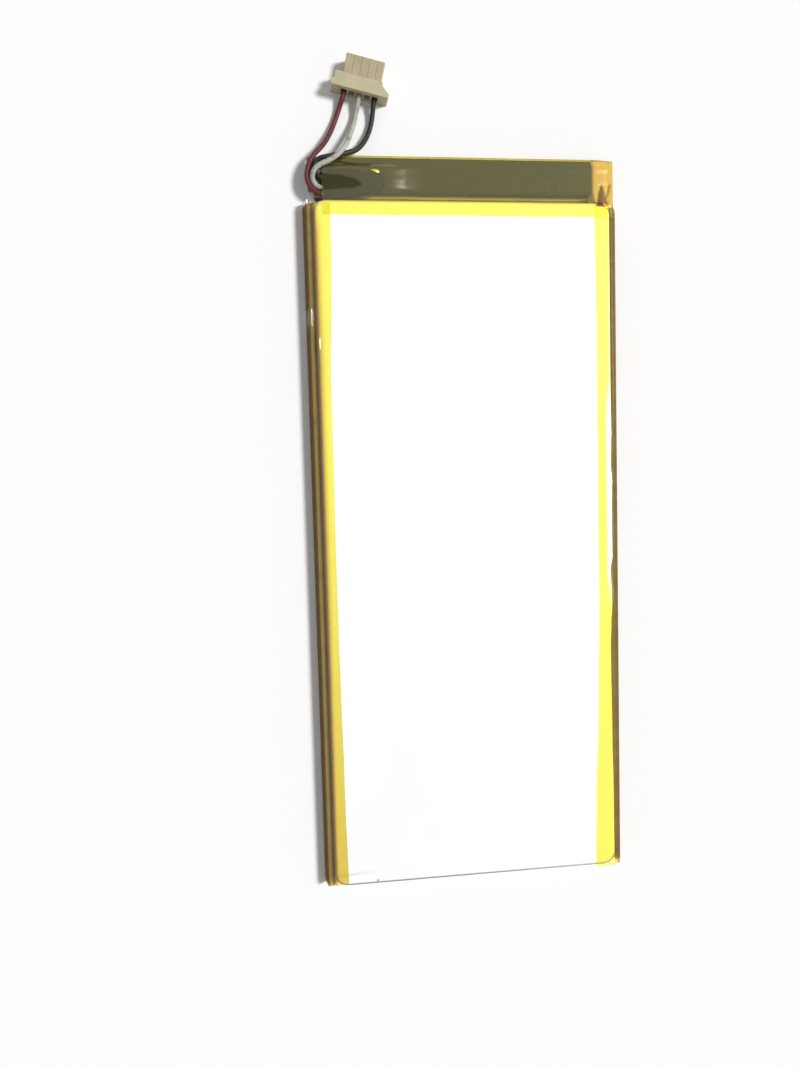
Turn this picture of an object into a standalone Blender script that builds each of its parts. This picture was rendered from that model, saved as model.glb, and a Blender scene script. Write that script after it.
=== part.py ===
"""Tablet battery: a flat lithium pouch cell in polyimide tape, with protection board, leads and connector.

X runs across the pack, +Y along it to the board end, and +Z up through its thickness. The origin is the
middle of the back face.
"""

import math

import bmesh
import bpy
from mathutils import Matrix, Vector, geometry

MM = 0.001

# Overall sizes of the pack, tapes included
PACK_LENGTH = 120.0 * MM
PACK_WIDTH = 52.0 * MM
CELL_THICKNESS = 3.0 * MM

# Clearances
FILM_GAP = 0.04 * MM
SEAT_GAP = 0.05 * MM
JOIN = 0.1 * MM

# Tapes
FILM = 0.06 * MM
EDGE_TAPE_ON_FACE = 4.3 * MM
EDGE_TAPE_ON_BACK = 5.0 * MM
LEFT_TAPE_SHORT = 1.1 * MM
RIGHT_TAPE_SHORT = 0.1 * MM
WRAP_ON_FACE = 2.1 * MM
WRAP_SLOPE = 2.1 * MM
WRAP_UNDER_TERRACE = 6.6 * MM
WRAP_START = 3.1 * MM
WRAP_END = 0.9 * MM
TAPE_BEND = 0.25 * MM
WRAP_END_BEND = 0.35 * MM
END_FOLD_CREASE = 0.6
HUMP_LEVEL_UNTIL = 1.7 * MM
HUMP_DOWN_BY = 0.8 * MM
HUMP_RUN_OUT = ((0.0, 1.0), (0.7 * MM, 0.75), (1.4 * MM, 0.25), (2.1 * MM, 0.0))
PRESSED_PAST_BOARD = ((0.02, 0.0), (0.37, 0.06), (0.74, 0.12), (1.0, 0.18))
PRESSED_AT_END = 0.25

# Pouch foil
SEAL_THICKNESS = 0.25 * MM
SEAL_FOLD_HEIGHT = 2.3 * MM
SEAL_FOLD_LEAN = 0.5 * MM
SEAL_FOLD_ROUND = 0.1 * MM
GROOVE_WIDTH = 1.0 * MM
CUP_DRAFT = 0.25 * MM
CUP_CORNER = 2.0 * MM
CUP_EDGE = 0.5 * MM
TERRACE_DEPTH = 6.2 * MM
TERRACE_SIDE_CUT = 1.0 * MM
TERRACE_CORNER = 0.8 * MM
TAB_ROOM = 0.85 * MM

# Protection board and what is on it
INSULATOR_THICKNESS = 0.1 * MM
CHIP_HEIGHT = 0.85 * MM
BOARD_THICKNESS = 0.6 * MM
BOARD_DEPTH = 5.4 * MM
BOARD_INSET = 0.9 * MM
CLEAR_TAPE_END = 4.3 * MM
BOARD_END_ROOM = 0.3 * MM
BOARD_CORNER = 0.4 * MM
TAB_WIDTH = 4.0 * MM
TAB_THICKNESS = 0.1 * MM
TAB_REACH = 3.2 * MM
WELD_PLATE = (5.0 * MM, 3.0 * MM)
WELD_PLATE_THICKNESS = 0.15 * MM
SOLDER_JOINT = (1.9 * MM, 1.1 * MM, 0.7 * MM)
SOLDER_DOME = 0.7
LEG_PITCH = 0.65 * MM
LEG_WIDTH = 0.3 * MM
LEG_METAL = 0.15 * MM
END_CAP_SKIN = 0.03 * MM
END_CAP_SHARE = 0.25

# What is under the board has its place as a share of the board's length from the leads' end
TABS = {"positive": 0.34, "negative": 0.74}

# Moulded chips: place, body across and along, legs on a side, foot
CHIPS = {
    "protection_chip": (0.575, (1.6 * MM, 2.0 * MM), 3, 0.6 * MM),
    "switch_chip": (0.47, (3.0 * MM, 3.0 * MM), 4, 0.8 * MM),
}

# Chip resistors and the like: place, offset from the board's middle line, then long, wide, thick
SMALL_PARTS = {
    "supply_resistor": (0.65, 0.9 * MM, (1.0 * MM, 0.5 * MM, 0.35 * MM)),
    "sense_resistor": (0.65, -0.9 * MM, (1.0 * MM, 0.5 * MM, 0.35 * MM)),
    "filter_capacitor": (0.845, 0.9 * MM, (1.0 * MM, 0.5 * MM, 0.5 * MM)),
    "output_capacitor": (0.845, -0.9 * MM, (1.0 * MM, 0.5 * MM, 0.5 * MM)),
    "thermistor": (0.92, 0.0, (1.6 * MM, 0.8 * MM, 0.6 * MM)),
}

# Leads and the connector
LEAD_DIAMETER = 0.8 * MM
LEAD_STEP = 1.2 * MM
PITCH = 1.25 * MM
POSITIONS = 5
HOUSING_LENGTH = 5.4 * MM
HOUSING_HEIGHT = 2.8 * MM
HOUSING_END_WALL = 0.7 * MM
FLANGE_LENGTH = 2.3 * MM
FLANGE_HEIGHT = 3.15 * MM
WING = 1.5 * MM
WING_RAMP = 1.3 * MM
WING_TIP = 0.5 * MM
WING_STEP = (0.35 * MM, 0.95 * MM)
RAMP_LAND = 0.7 * MM
FLANGE_CHAMFER = 0.3 * MM
FLUTE = (0.22 * MM, 0.07 * MM)
HOUSING_ROUND = 0.15 * MM
CAVITY_WIDTH = 0.98 * MM
CAVITY_HEIGHT = 1.5 * MM
CONTACT_WALL = 1.0 * MM
CONTACT_HOLE = 0.5 * MM
LANCE_WINDOW = (0.55 * MM, 1.0 * MM)
HOUSING_CENTRE = (10.2 * MM, 12.1 * MM)
HOUSING_TURN = math.radians(-13)
CRIMP_DIAMETER = 0.72 * MM
CRIMP_LENGTH = 1.0 * MM
TERMINAL_LENGTH = 2.4 * MM
TERMINAL_HEADROOM = 0.15 * MM
LEAD_STRAIGHT = 0.9 * MM
LEAD_SAG = 0.12 * MM

# Heights that follow from the sizes above
BACK = FILM + FILM_GAP
FACE = BACK + CELL_THICKNESS
TERRACE_TOP = BACK + SEAL_THICKNESS
INSULATOR_BOTTOM = TERRACE_TOP + SEAT_GAP
CHIP_BOTTOM = INSULATOR_BOTTOM + INSULATOR_THICKNESS + SEAT_GAP
CHIP_TOP = CHIP_BOTTOM + CHIP_HEIGHT
BOARD_BOTTOM = CHIP_TOP + SEAT_GAP
BOARD_TOP = BOARD_BOTTOM + BOARD_THICKNESS
ON_BOARD = BOARD_TOP + SEAT_GAP + LEAD_DIAMETER / 2
BUMP_TOP = ON_BOARD + LEAD_DIAMETER / 2 + FILM_GAP + FILM / 2
IN_HOUSING = HOUSING_HEIGHT / 2

# Places across and along the pack
SIDE = PACK_WIDTH / 2
END = PACK_LENGTH / 2
SEAL_SIDE = SIDE - FILM - FILM_GAP
CUP_SIDE = SEAL_SIDE - SEAL_THICKNESS - GROOVE_WIDTH
TERRACE_END = END - TAB_ROOM
CUP_END = TERRACE_END - TERRACE_DEPTH
CUP_TOP_END = CUP_END - CUP_DRAFT
CUP_SHOULDER = CUP_SIDE - CUP_DRAFT - CUP_EDGE / 2
FOLD_TOP = BACK + SEAL_FOLD_HEIGHT
FOLD_CREST = SEAL_SIDE - SEAL_FOLD_LEAN
BOARD_LEFT = -SIDE + BOARD_INSET
BOARD_RIGHT = SIDE - CLEAR_TAPE_END
BOARD_LENGTH = BOARD_RIGHT - BOARD_LEFT
BOARD_FAR = END - FILM - FILM_GAP - BOARD_END_ROOM
BOARD_NEAR = BOARD_FAR - BOARD_DEPTH
BOARD_MIDDLE = (BOARD_FAR + BOARD_NEAR) / 2
CORNER = Vector((-SIDE, END, 0.0))

# The leads' routes from board to housing: millimetres across and along from the corner of the pack that
# they leave by, and the height
RED_ROUTE = (
    (10.3, -5.15, ON_BOARD / MM),
    (8.0, -5.3, ON_BOARD / MM),
    (6.2, -5.8, ON_BOARD / MM),
    (4.6, -6.2, ON_BOARD / MM),
    (3.3, -6.3, ON_BOARD / MM),
    (2.2, -5.95, ON_BOARD / MM),
    (1.4, -5.25, ON_BOARD / MM),
    (0.95, -4.35, ON_BOARD / MM),
    (0.85, -3.3, ON_BOARD / MM),
    (1.05, -2.2, 2.5),
    (1.5, -1.15, 2.6),
    (2.15, -0.15, 2.5),
    (3.0, 0.8, 2.2),
    (3.9, 2.05, 1.6),
    (4.8, 3.75, 1.0),
    (5.5, 5.4, 0.64),
    (6.08, 6.9, 0.56),
    (6.55, 8.1, 0.82),
)
WHITE_ROUTE = (
    (10.6, -3.95, ON_BOARD / MM),
    (8.8, -4.1, ON_BOARD / MM),
    (7.0, -4.5, ON_BOARD / MM),
    (5.5, -4.95, ON_BOARD / MM),
    (4.3, -5.25, ON_BOARD / MM),
    (3.25, -5.33, ON_BOARD / MM),
    (2.47, -5.12, ON_BOARD / MM),
    (1.91, -4.55, 2.64),
    (1.7, -3.78, 2.94),
    (1.92, -3.02, 3.25),
    (2.42, -2.46, 3.46),
    (3.15, -2.02, 3.58),
    (3.95, -1.66, 3.62),
    (4.82, -1.22, 3.62),
    (5.7, -0.6, 3.55),
    (6.5, 0.25, 3.35),
    (7.25, 1.5, 2.7),
    (7.95, 3.2, 1.88),
    (8.52, 4.9, 1.12),
    (8.92, 6.35, 0.74),
    (9.2, 7.6, 0.95),
)
BLACK_ROUTE = (
    (10.6, -2.75, ON_BOARD / MM),
    (8.8, -2.9, ON_BOARD / MM),
    (7.0, -3.3, ON_BOARD / MM),
    (5.6, -3.65, ON_BOARD / MM),
    (4.6, -3.84, ON_BOARD / MM),
    (3.65, -3.87, ON_BOARD / MM),
    (2.85, -3.67, ON_BOARD / MM),
    (2.28, -3.1, ON_BOARD / MM),
    (2.06, -2.32, ON_BOARD / MM),
    (2.26, -1.54, 2.62),
    (2.82, -0.98, 2.78),
    (3.65, -0.72, 2.86),
    (4.6, -0.52, 2.82),
    (6.2, -0.15, 2.58),
    (7.8, 0.35, 2.24),
    (9.1, 1.05, 1.75),
    (10.2, 2.35, 1.25),
    (11.0, 3.95, 0.82),
    (11.48, 5.5, 0.66),
    (11.71, 6.85, 0.88),
)

pack = bpy.data.collections.new("tablet_battery")
cutters = bpy.data.collections.new("cutters")


def clear_scene():
    for thing in list(bpy.data.objects):
        bpy.data.objects.remove(thing, do_unlink=True)
    bpy.context.scene.collection.children.link(pack)
    bpy.context.scene.collection.children.link(cutters)


def material(name, colour, roughness, metallic=0.0):
    """A Principled material of one colour."""
    made = bpy.data.materials.new(name)
    made.use_nodes = True
    shader = made.node_tree.nodes["Principled BSDF"]
    shader.inputs["Base Color"].default_value = (*colour, 1.0)
    shader.inputs["Roughness"].default_value = roughness
    shader.inputs["Metallic"].default_value = metallic
    made.diffuse_color = (*colour, 1.0)
    return made


def place(name, mesh, made_of=None, collection=pack):
    """An object of that mesh, shaded smooth up to 35 degrees."""
    mesh.name = name
    piece = bpy.data.objects.new(name, mesh)
    collection.objects.link(piece)
    mesh.shade_smooth()
    mesh.set_sharp_from_angle(angle=math.radians(35))
    if made_of is not None:
        mesh.materials.clear()
        mesh.materials.append(made_of)
    return piece


def evaluated_mesh(piece, weld=1e-6):
    """The piece's mesh with its modifiers done, welded, in world space."""
    bpy.context.view_layer.update()
    ready = piece.evaluated_get(bpy.context.evaluated_depsgraph_get())
    mesh = bpy.data.meshes.new_from_object(ready)
    mesh.transform(piece.matrix_world)
    shape = bmesh.new()
    shape.from_mesh(mesh)
    bmesh.ops.remove_doubles(shape, verts=shape.verts, dist=weld)
    bmesh.ops.recalc_face_normals(shape, faces=shape.faces)
    shape.to_mesh(mesh)
    shape.free()
    return mesh


def block(name, low, high, draw_in=0.0, corner=0.0, edge=0.0, segments=3):
    """A box mesh from corner to corner, its top drawn in, with round uprights and a round top edge."""
    shape = bmesh.new()
    bmesh.ops.create_cube(shape, size=1.0)
    for vertex in shape.verts:
        inward = draw_in if vertex.co.z > 0 else 0.0
        vertex.co.x = high[0] - inward if vertex.co.x > 0 else low[0] + inward
        vertex.co.y = high[1] - inward if vertex.co.y > 0 else low[1] + inward
        vertex.co.z = high[2] if vertex.co.z > 0 else low[2]
    if corner:
        uprights = [e for e in shape.edges if abs(e.verts[0].co.z - e.verts[1].co.z) > JOIN / 10]
        bmesh.ops.bevel(shape, geom=uprights, offset=corner, segments=segments, profile=0.5, affect="EDGES")
    if edge:
        shape.normal_update()
        lid = max(shape.faces, key=lambda face: face.calc_center_median().z)
        rim = list(lid.edges)
        bmesh.ops.bevel(shape, geom=rim, offset=edge, segments=segments, profile=0.5, affect="EDGES")
    bmesh.ops.recalc_face_normals(shape, faces=shape.faces)
    mesh = bpy.data.meshes.new(name)
    shape.to_mesh(mesh)
    shape.free()
    return mesh


def rounded(points, radius, closed=True, steps=3):
    """The outline through those points with each corner an arc; a point may give its own radius third."""
    outline = []
    count = len(points)
    for i, point in enumerate(points):
        here = Vector(point[:2])
        own = point[2] if len(point) > 2 else radius
        if not closed and i in (0, count - 1):
            outline.append(here)
            continue
        back = Vector(points[i - 1][:2]) - here
        on = Vector(points[(i + 1) % count][:2]) - here
        half = back.angle(on) / 2
        straight = half > math.radians(89)
        if own <= 0 or straight and closed:
            outline.append(here)
            continue
        if straight:
            reach = min(own, 0.4 * back.length, 0.4 * on.length)
            ends = (here + back.normalized() * reach, here + on.normalized() * reach)
            outline += [ends[0].lerp(ends[1], step / steps) for step in range(steps + 1)]
            continue
        reach = min(own / math.tan(half), 0.49 * back.length, 0.49 * on.length)
        arc = reach * math.tan(half)
        middle = here + (back.normalized() + on.normalized()).normalized() * (arc / math.sin(half))
        first = here + back.normalized() * reach - middle
        last = here + on.normalized() * reach - middle
        turn = first.angle_signed(last)
        for step in range(steps + 1):
            outline.append(middle + Matrix.Rotation(-turn * step / steps, 2) @ first)
    return outline


def extruded(name, outline, low, high, upright=False):
    """A flat outline made solid from low to high: along Z, or along Y where it is upright (x, z)."""
    flat = bpy.data.curves.new(name, "CURVE")
    flat.dimensions = "2D"
    flat.fill_mode = "BOTH"
    flat.extrude = (high - low) / 2
    line = flat.splines.new("POLY")
    line.points.add(len(outline) - 1)
    for spot, point in zip(line.points, outline):
        spot.co = (*point[:2], 0.0, 1.0)
    line.use_cyclic_u = True
    guide = bpy.data.objects.new(name, flat)
    cutters.objects.link(guide)
    middle = (high + low) / 2
    if upright:
        guide.matrix_world = Matrix.Translation((0.0, middle, 0.0)) @ Matrix.Rotation(math.pi / 2, 4, "X")
    else:
        guide.matrix_world = Matrix.Translation((0.0, 0.0, middle))
    mesh = evaluated_mesh(guide)
    bpy.data.objects.remove(guide, do_unlink=True)
    bpy.data.curves.remove(flat)
    return mesh


def combine(base, others, operation):
    """The base mesh with each of the other meshes joined to it or cut from it."""
    body = place("body", base, collection=cutters)
    tools = []
    for i, mesh in enumerate(others):
        tool = place(f"tool_{i}", mesh, collection=cutters)
        step = body.modifiers.new(tool.name, "BOOLEAN")
        step.operation = operation
        step.object = tool
        step.solver = "EXACT"
        tools.append(tool)
    mesh = evaluated_mesh(body)
    for thing in [body, *tools]:
        bpy.data.objects.remove(thing, do_unlink=True)
    return mesh


def film(name, sections, made_of, thickness=FILM):
    """A thin sheet lofted through sections, each a list of as many points down its middle."""
    rows = len(sections) - 1
    columns = len(sections[0]) - 1
    shape = bmesh.new()
    bmesh.ops.create_grid(shape, x_segments=rows, y_segments=columns, size=0.5)
    for vertex in shape.verts:
        row = round((vertex.co.x + 0.5) * rows)
        column = round((vertex.co.y + 0.5) * columns)
        vertex.co = sections[row][column]
    mesh = bpy.data.meshes.new(name)
    shape.to_mesh(mesh)
    shape.free()
    sheet = place(name, mesh, made_of)
    wall = sheet.modifiers.new("thickness", "SOLIDIFY")
    wall.thickness = thickness
    wall.offset = 0.0
    wall.use_even_offset = True
    return sheet


def smooth_line(points, step):
    """Points about a step apart on the smooth curve through the route's own points."""
    ends = [points[0] * 2 - points[1], *points, points[-1] * 2 - points[-2]]
    fine = []
    for i in range(1, len(ends) - 2):
        before, start, finish, after = ends[i - 1 : i + 3]
        leave = (finish - before) / 6
        arrive = (after - start) / 6
        fine += geometry.interpolate_bezier(start, start + leave, finish - arrive, finish, 12)[:-1]
    fine.append(points[-1])
    along = [0.0]
    for a, b in zip(fine, fine[1:]):
        along.append(along[-1] + (b - a).length)
    count = max(2, round(along[-1] / step))
    line = []
    j = 0
    for k in range(count + 1):
        target = along[-1] * k / count
        while j < len(fine) - 2 and along[j + 1] < target:
            j += 1
        span = along[j + 1] - along[j]
        line.append(fine[j].lerp(fine[j + 1], (target - along[j]) / span if span > 0 else 0.0))
    return line


def tube(name, line, diameter, made_of):
    """A lead along a line, as a curve with round section and closed ends."""
    path = bpy.data.curves.new(name, "CURVE")
    path.dimensions = "3D"
    path.bevel_depth = diameter / 2
    path.bevel_resolution = 2
    path.use_fill_caps = True
    spline = path.splines.new("POLY")
    spline.points.add(len(line) - 1)
    for spot, point in zip(spline.points, line):
        spot.co = (*point, 1.0)
    path.materials.append(made_of)
    lead = bpy.data.objects.new(name, path)
    pack.objects.link(lead)
    return lead


# The pouch cell


def pouch_cell(foil):
    """One sealed pouch: a drawn cup on a flat sheet, its terrace, and its side seals folded up."""
    near_end = -END
    cup = block(
        "cup",
        (-CUP_SIDE, near_end + SEAT_GAP, TERRACE_TOP - JOIN),
        (CUP_SIDE, CUP_END, FACE),
        draw_in=CUP_DRAFT,
        corner=CUP_CORNER,
        edge=CUP_EDGE,
    )
    section = [
        (-SEAL_SIDE, BACK, SEAL_THICKNESS),
        (SEAL_SIDE, BACK, SEAL_THICKNESS),
        (FOLD_CREST, FOLD_TOP, SEAL_FOLD_ROUND),
        (FOLD_CREST - SEAL_THICKNESS, FOLD_TOP, SEAL_FOLD_ROUND),
        (SEAL_SIDE - SEAL_THICKNESS, TERRACE_TOP, SEAL_FOLD_ROUND),
        (-SEAL_SIDE + SEAL_THICKNESS, TERRACE_TOP, SEAL_FOLD_ROUND),
        (-FOLD_CREST + SEAL_THICKNESS, FOLD_TOP, SEAL_FOLD_ROUND),
        (-FOLD_CREST, FOLD_TOP, SEAL_FOLD_ROUND),
    ]
    folds = extruded("folds", rounded(section, 0.0), near_end, CUP_END - JOIN, upright=True)
    side = SEAL_SIDE - TERRACE_SIDE_CUT
    start = CUP_END - CUP_CORNER - JOIN
    plan = [
        (-side, start),
        (side, start),
        (side, TERRACE_END, TERRACE_CORNER),
        (-side, TERRACE_END, TERRACE_CORNER),
    ]
    terrace = extruded("terrace", rounded(plan, 0.0), BACK, TERRACE_TOP)
    place("pouch_cell", combine(folds, [cup, terrace], "UNION"), foil)


def cell_tab(name, x, metal):
    """A cell tab: out of the terrace's end, round, and back under its weld plate."""
    low = (BACK + TERRACE_TOP) / 2
    high = BOARD_BOTTOM - SEAT_GAP - WELD_PLATE_THICKNESS - SEAT_GAP - TAB_THICKNESS / 2
    out = TERRACE_END + TAB_ROOM - FILM - FILM_GAP - SEAT_GAP - TAB_THICKNESS / 2
    path = [(TERRACE_END + SEAT_GAP, low), (out, low), (out, high), (out - TAB_REACH, high)]
    bend = rounded(path, (high - low) / 2, closed=False, steps=5)
    sections = [[Vector((x + side * TAB_WIDTH / 2, y, z)) for y, z in bend] for side in (-1, 1)]
    film(name, sections, metal, TAB_THICKNESS)


# The protection board and its parts


def board_x(share):
    """The place across at that share of the board's length from the leads' end."""
    return BOARD_LEFT + share * BOARD_LENGTH


def plate(name, low, high, corner, made_of):
    """A flat plate with round corners."""
    plan = [(low[0], low[1]), (high[0], low[1]), (high[0], high[1]), (low[0], high[1])]
    place(name, extruded(name, rounded(plan, corner), low[2], high[2]), made_of)


def legged_chip(name, share, body, legs, foot, made_of):
    """A moulded chip hanging under the board, with a row of bent legs along two sides."""
    x = board_x(share)
    y = BOARD_MIDDLE
    wide, deep = body
    low = (x - wide / 2, y - deep / 2, CHIP_BOTTOM)
    high = (x + wide / 2, y + deep / 2, CHIP_TOP)
    solid = block(name, low, high, edge=JOIN)
    shoulder = CHIP_BOTTOM + CHIP_HEIGHT / 2
    pieces = []
    for side in (-1, 1):
        inner = side * (wide / 2 - JOIN)
        knee = side * (wide / 2 + foot / 2)
        toe = side * (wide / 2 + foot)
        profile = [
            (x + inner, shoulder),
            (x + knee, shoulder),
            (x + knee, CHIP_TOP - LEG_METAL),
            (x + toe, CHIP_TOP - LEG_METAL),
            (x + toe, CHIP_TOP),
            (x + knee - side * LEG_METAL, CHIP_TOP),
            (x + knee - side * LEG_METAL, shoulder + LEG_METAL),
            (x + inner, shoulder + LEG_METAL),
        ]
        for leg in range(legs):
            middle = y + (leg - (legs - 1) / 2) * LEG_PITCH
            span = (middle - LEG_WIDTH / 2, middle + LEG_WIDTH / 2)
            pieces.append(extruded("leg", profile, *span, upright=True))
    place(name, combine(solid, pieces, "UNION"), made_of)


def chip_part(name, share, along, size, made_of):
    """A chip resistor, capacitor or thermistor: a ceramic body in two slightly thicker end caps."""
    x = board_x(share)
    y = BOARD_MIDDLE + along
    long, wide, thick = size
    skin = END_CAP_SKIN
    top = CHIP_TOP - skin
    bottom = top - thick
    body = block(
        name,
        (x - long / 2 + skin, y - wide / 2, bottom),
        (x + long / 2 - skin, y + wide / 2, top),
    )
    ends = []
    for side in (-1, 1):
        outer = x + side * long / 2
        inner = outer - side * END_CAP_SHARE * long
        low = (min(inner, outer), y - wide / 2 - skin, bottom - skin)
        high = (max(inner, outer), y + wide / 2 + skin, top + skin)
        ends.append(block("end", low, high))
    place(name, combine(body, ends, "UNION"), made_of)


def solder_joint(name, spot, metal):
    """A flat-bottomed mound of solder on the board, ahead of a lead's end."""
    long, wide, high = SOLDER_JOINT
    radii = Vector((long / 2, wide / 2, SOLDER_DOME * high))
    shape = bmesh.new()
    bmesh.ops.create_uvsphere(shape, u_segments=16, v_segments=8, radius=1.0)
    floor = BOARD_TOP + SEAT_GAP
    middle = Vector((spot.x + SEAT_GAP + long / 2, spot.y, floor + (1 - SOLDER_DOME) * high))
    for vertex in shape.verts:
        vertex.co = middle + vertex.co * radii
    cut = bmesh.ops.bisect_plane(
        shape,
        geom=shape.verts[:] + shape.edges[:] + shape.faces[:],
        plane_co=(0, 0, floor),
        plane_no=(0, 0, -1),
        clear_outer=True,
    )
    rim = [e for e in cut["geom_cut"] if isinstance(e, bmesh.types.BMEdge)]
    bmesh.ops.holes_fill(shape, edges=rim)
    bmesh.ops.recalc_face_normals(shape, faces=shape.faces)
    mesh = bpy.data.meshes.new(name)
    shape.to_mesh(mesh)
    shape.free()
    place(name, mesh, metal)


# Tapes


def edge_tape(name, side, short, amber):
    """The tape over one long edge: from the face over the folded seal and round to the back."""
    off = FILM_GAP + FILM / 2
    path = [
        (SIDE - EDGE_TAPE_ON_FACE, FACE + off),
        (CUP_SHOULDER, FACE + off),
        (FOLD_CREST - SEAL_THICKNESS, FOLD_TOP + off),
        (FOLD_CREST + off, FOLD_TOP + off, SEAL_FOLD_ROUND + off),
        (SIDE - FILM / 2, BACK + SEAL_THICKNESS),
        (SIDE - FILM / 2, FILM / 2),
        (SIDE - EDGE_TAPE_ON_BACK, FILM / 2),
    ]
    bend = rounded(path, TAPE_BEND, closed=False)
    ends = (-END + short, CUP_TOP_END - CUP_EDGE)
    sections = [[Vector((side * x, y, z)) for x, z in bend] for y in ends]
    film(name, sections, amber)


def wrap_section(x, bump, drop):
    """The wrap tape's middle line at one place across: face, board, far end, underside.

    bump is how far it is lifted over the leads, and drop how far it has come down past the board's end.
    """
    off = FILM_GAP + FILM / 2
    past_shoulder = max(0.0, x - CUP_SHOULDER) / (FOLD_CREST - SEAL_THICKNESS - CUP_SHOULDER)
    on_face = FACE + FILM_GAP + FILM + off - (FACE - FOLD_TOP) * past_shoulder
    on_board = BOARD_TOP + off
    low = TERRACE_TOP + 2 * off
    flat = on_board + (low - on_board) * drop
    raised = flat + (BUMP_TOP - flat) * bump
    far = END - FILM / 2
    face_end = CUP_TOP_END - CUP_EDGE / 2
    points = [
        (face_end - WRAP_ON_FACE, on_face),
        (face_end, on_face),
        (face_end + WRAP_SLOPE, raised),
        (BOARD_FAR - HUMP_LEVEL_UNTIL, raised),
        (BOARD_FAR - HUMP_DOWN_BY, flat),
        (far - FILM, flat, WRAP_END_BEND),
        (far, FILM / 2 + (flat - FILM / 2) * END_FOLD_CREASE),
        (far, FILM / 2),
        (END - WRAP_UNDER_TERRACE, FILM / 2),
    ]
    return [Vector((x, y, z)) for y, z in rounded(points, TAPE_BEND, closed=False)]


def board_wrap_tape(amber):
    """The wide tape over the board end, humped over the leads, with an empty loop past the board's end."""
    start = -SIDE + WRAP_START
    stop = SIDE - WRAP_END
    last_pad = max(route[0][0] for route in (RED_ROUTE, WHITE_ROUTE, BLACK_ROUTE)) * MM
    hump_end = CORNER.x + last_pad + SOLDER_JOINT[0] + 4 * SEAT_GAP
    clear = CUP_SHOULDER - BOARD_RIGHT
    stations = [
        (start, 1.0, 0.0),
        *((hump_end + past, bump, 0.0) for past, bump in HUMP_RUN_OUT),
        *((BOARD_RIGHT + share * clear, 0.0, drop) for share, drop in PRESSED_PAST_BOARD),
        (stop, 0.0, PRESSED_AT_END),
    ]
    film("board_wrap_tape", [wrap_section(*station) for station in stations], amber)


# The connector


def housing_place():
    """Where the housing lies: its middle on the floor, with +Y along it to the mating face."""
    spot = CORNER + Vector((*HOUSING_CENTRE, 0.0))
    return Matrix.Translation(spot) @ Matrix.Rotation(HOUSING_TURN, 4, "Z")


def cavity_x(position):
    return (position - (POSITIONS - 1) / 2) * PITCH


def connector_housing(nylon):
    """The plug: a slim fluted mating end, a thicker flange with a stepped and a sloping wing, five cavities."""
    rear = -HOUSING_LENGTH / 2
    front = HOUSING_LENGTH / 2
    half = POSITIONS * PITCH / 2
    ridge = rear + FLANGE_LENGTH
    out = half + WING
    mating = block(
        "mating",
        (-half, rear + JOIN, 0.0),
        (half, front, HOUSING_HEIGHT),
        corner=HOUSING_ROUND,
        edge=HOUSING_ROUND,
        segments=2,
    )
    step_in, step_at = WING_STEP
    plan = [
        (-out, rear),
        (out, rear),
        (out, rear + WING_TIP),
        (out - WING_RAMP, ridge - RAMP_LAND),
        (out - WING_RAMP, ridge, 0.0),
        (-out + step_in, ridge),
        (-out + step_in, rear + step_at),
        (-out, rear + step_at),
    ]
    flange = extruded("flange", rounded(plan, HOUSING_ROUND), 0.0, FLANGE_HEIGHT)
    wedge = block("chamfer", (-out - JOIN, 0.0, 0.0), (out + JOIN, FLANGE_LENGTH, FLANGE_LENGTH))
    slope_start = Matrix.Translation((0.0, ridge - FLANGE_CHAMFER, FLANGE_HEIGHT))
    wedge.transform(slope_start @ Matrix.Rotation(-math.pi / 4, 4, "X"))
    solid = combine(mating, [combine(flange, [wedge], "DIFFERENCE")], "UNION")
    holes = []
    flute_wide, flute_deep = FLUTE
    for gap in range(POSITIONS - 1):
        x = cavity_x(gap + 0.5)
        low = (x - flute_wide / 2, ridge + JOIN, HOUSING_HEIGHT - flute_deep)
        holes.append(block("flute", low, (x + flute_wide / 2, front + JOIN, HOUSING_HEIGHT + JOIN)))
    wide = CAVITY_WIDTH / 2
    high = CAVITY_HEIGHT / 2
    bore = CONTACT_HOLE / 2
    lance, long = LANCE_WINDOW
    end = front - HOUSING_END_WALL
    for position in range(POSITIONS):
        x = cavity_x(position)
        holes += [
            block("cavity", (x - wide, rear - JOIN, IN_HOUSING - high), (x + wide, end, IN_HOUSING + high)),
            block("contact", (x - bore, 0.0, IN_HOUSING - bore), (x + bore, front + JOIN, IN_HOUSING + bore)),
            block("window", (x - lance / 2, 0.0, -JOIN), (x + lance / 2, long, IN_HOUSING)),
        ]
    housing = place("connector_housing", combine(solid, holes, "DIFFERENCE"), nylon)
    housing.matrix_world = housing_place()


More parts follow.
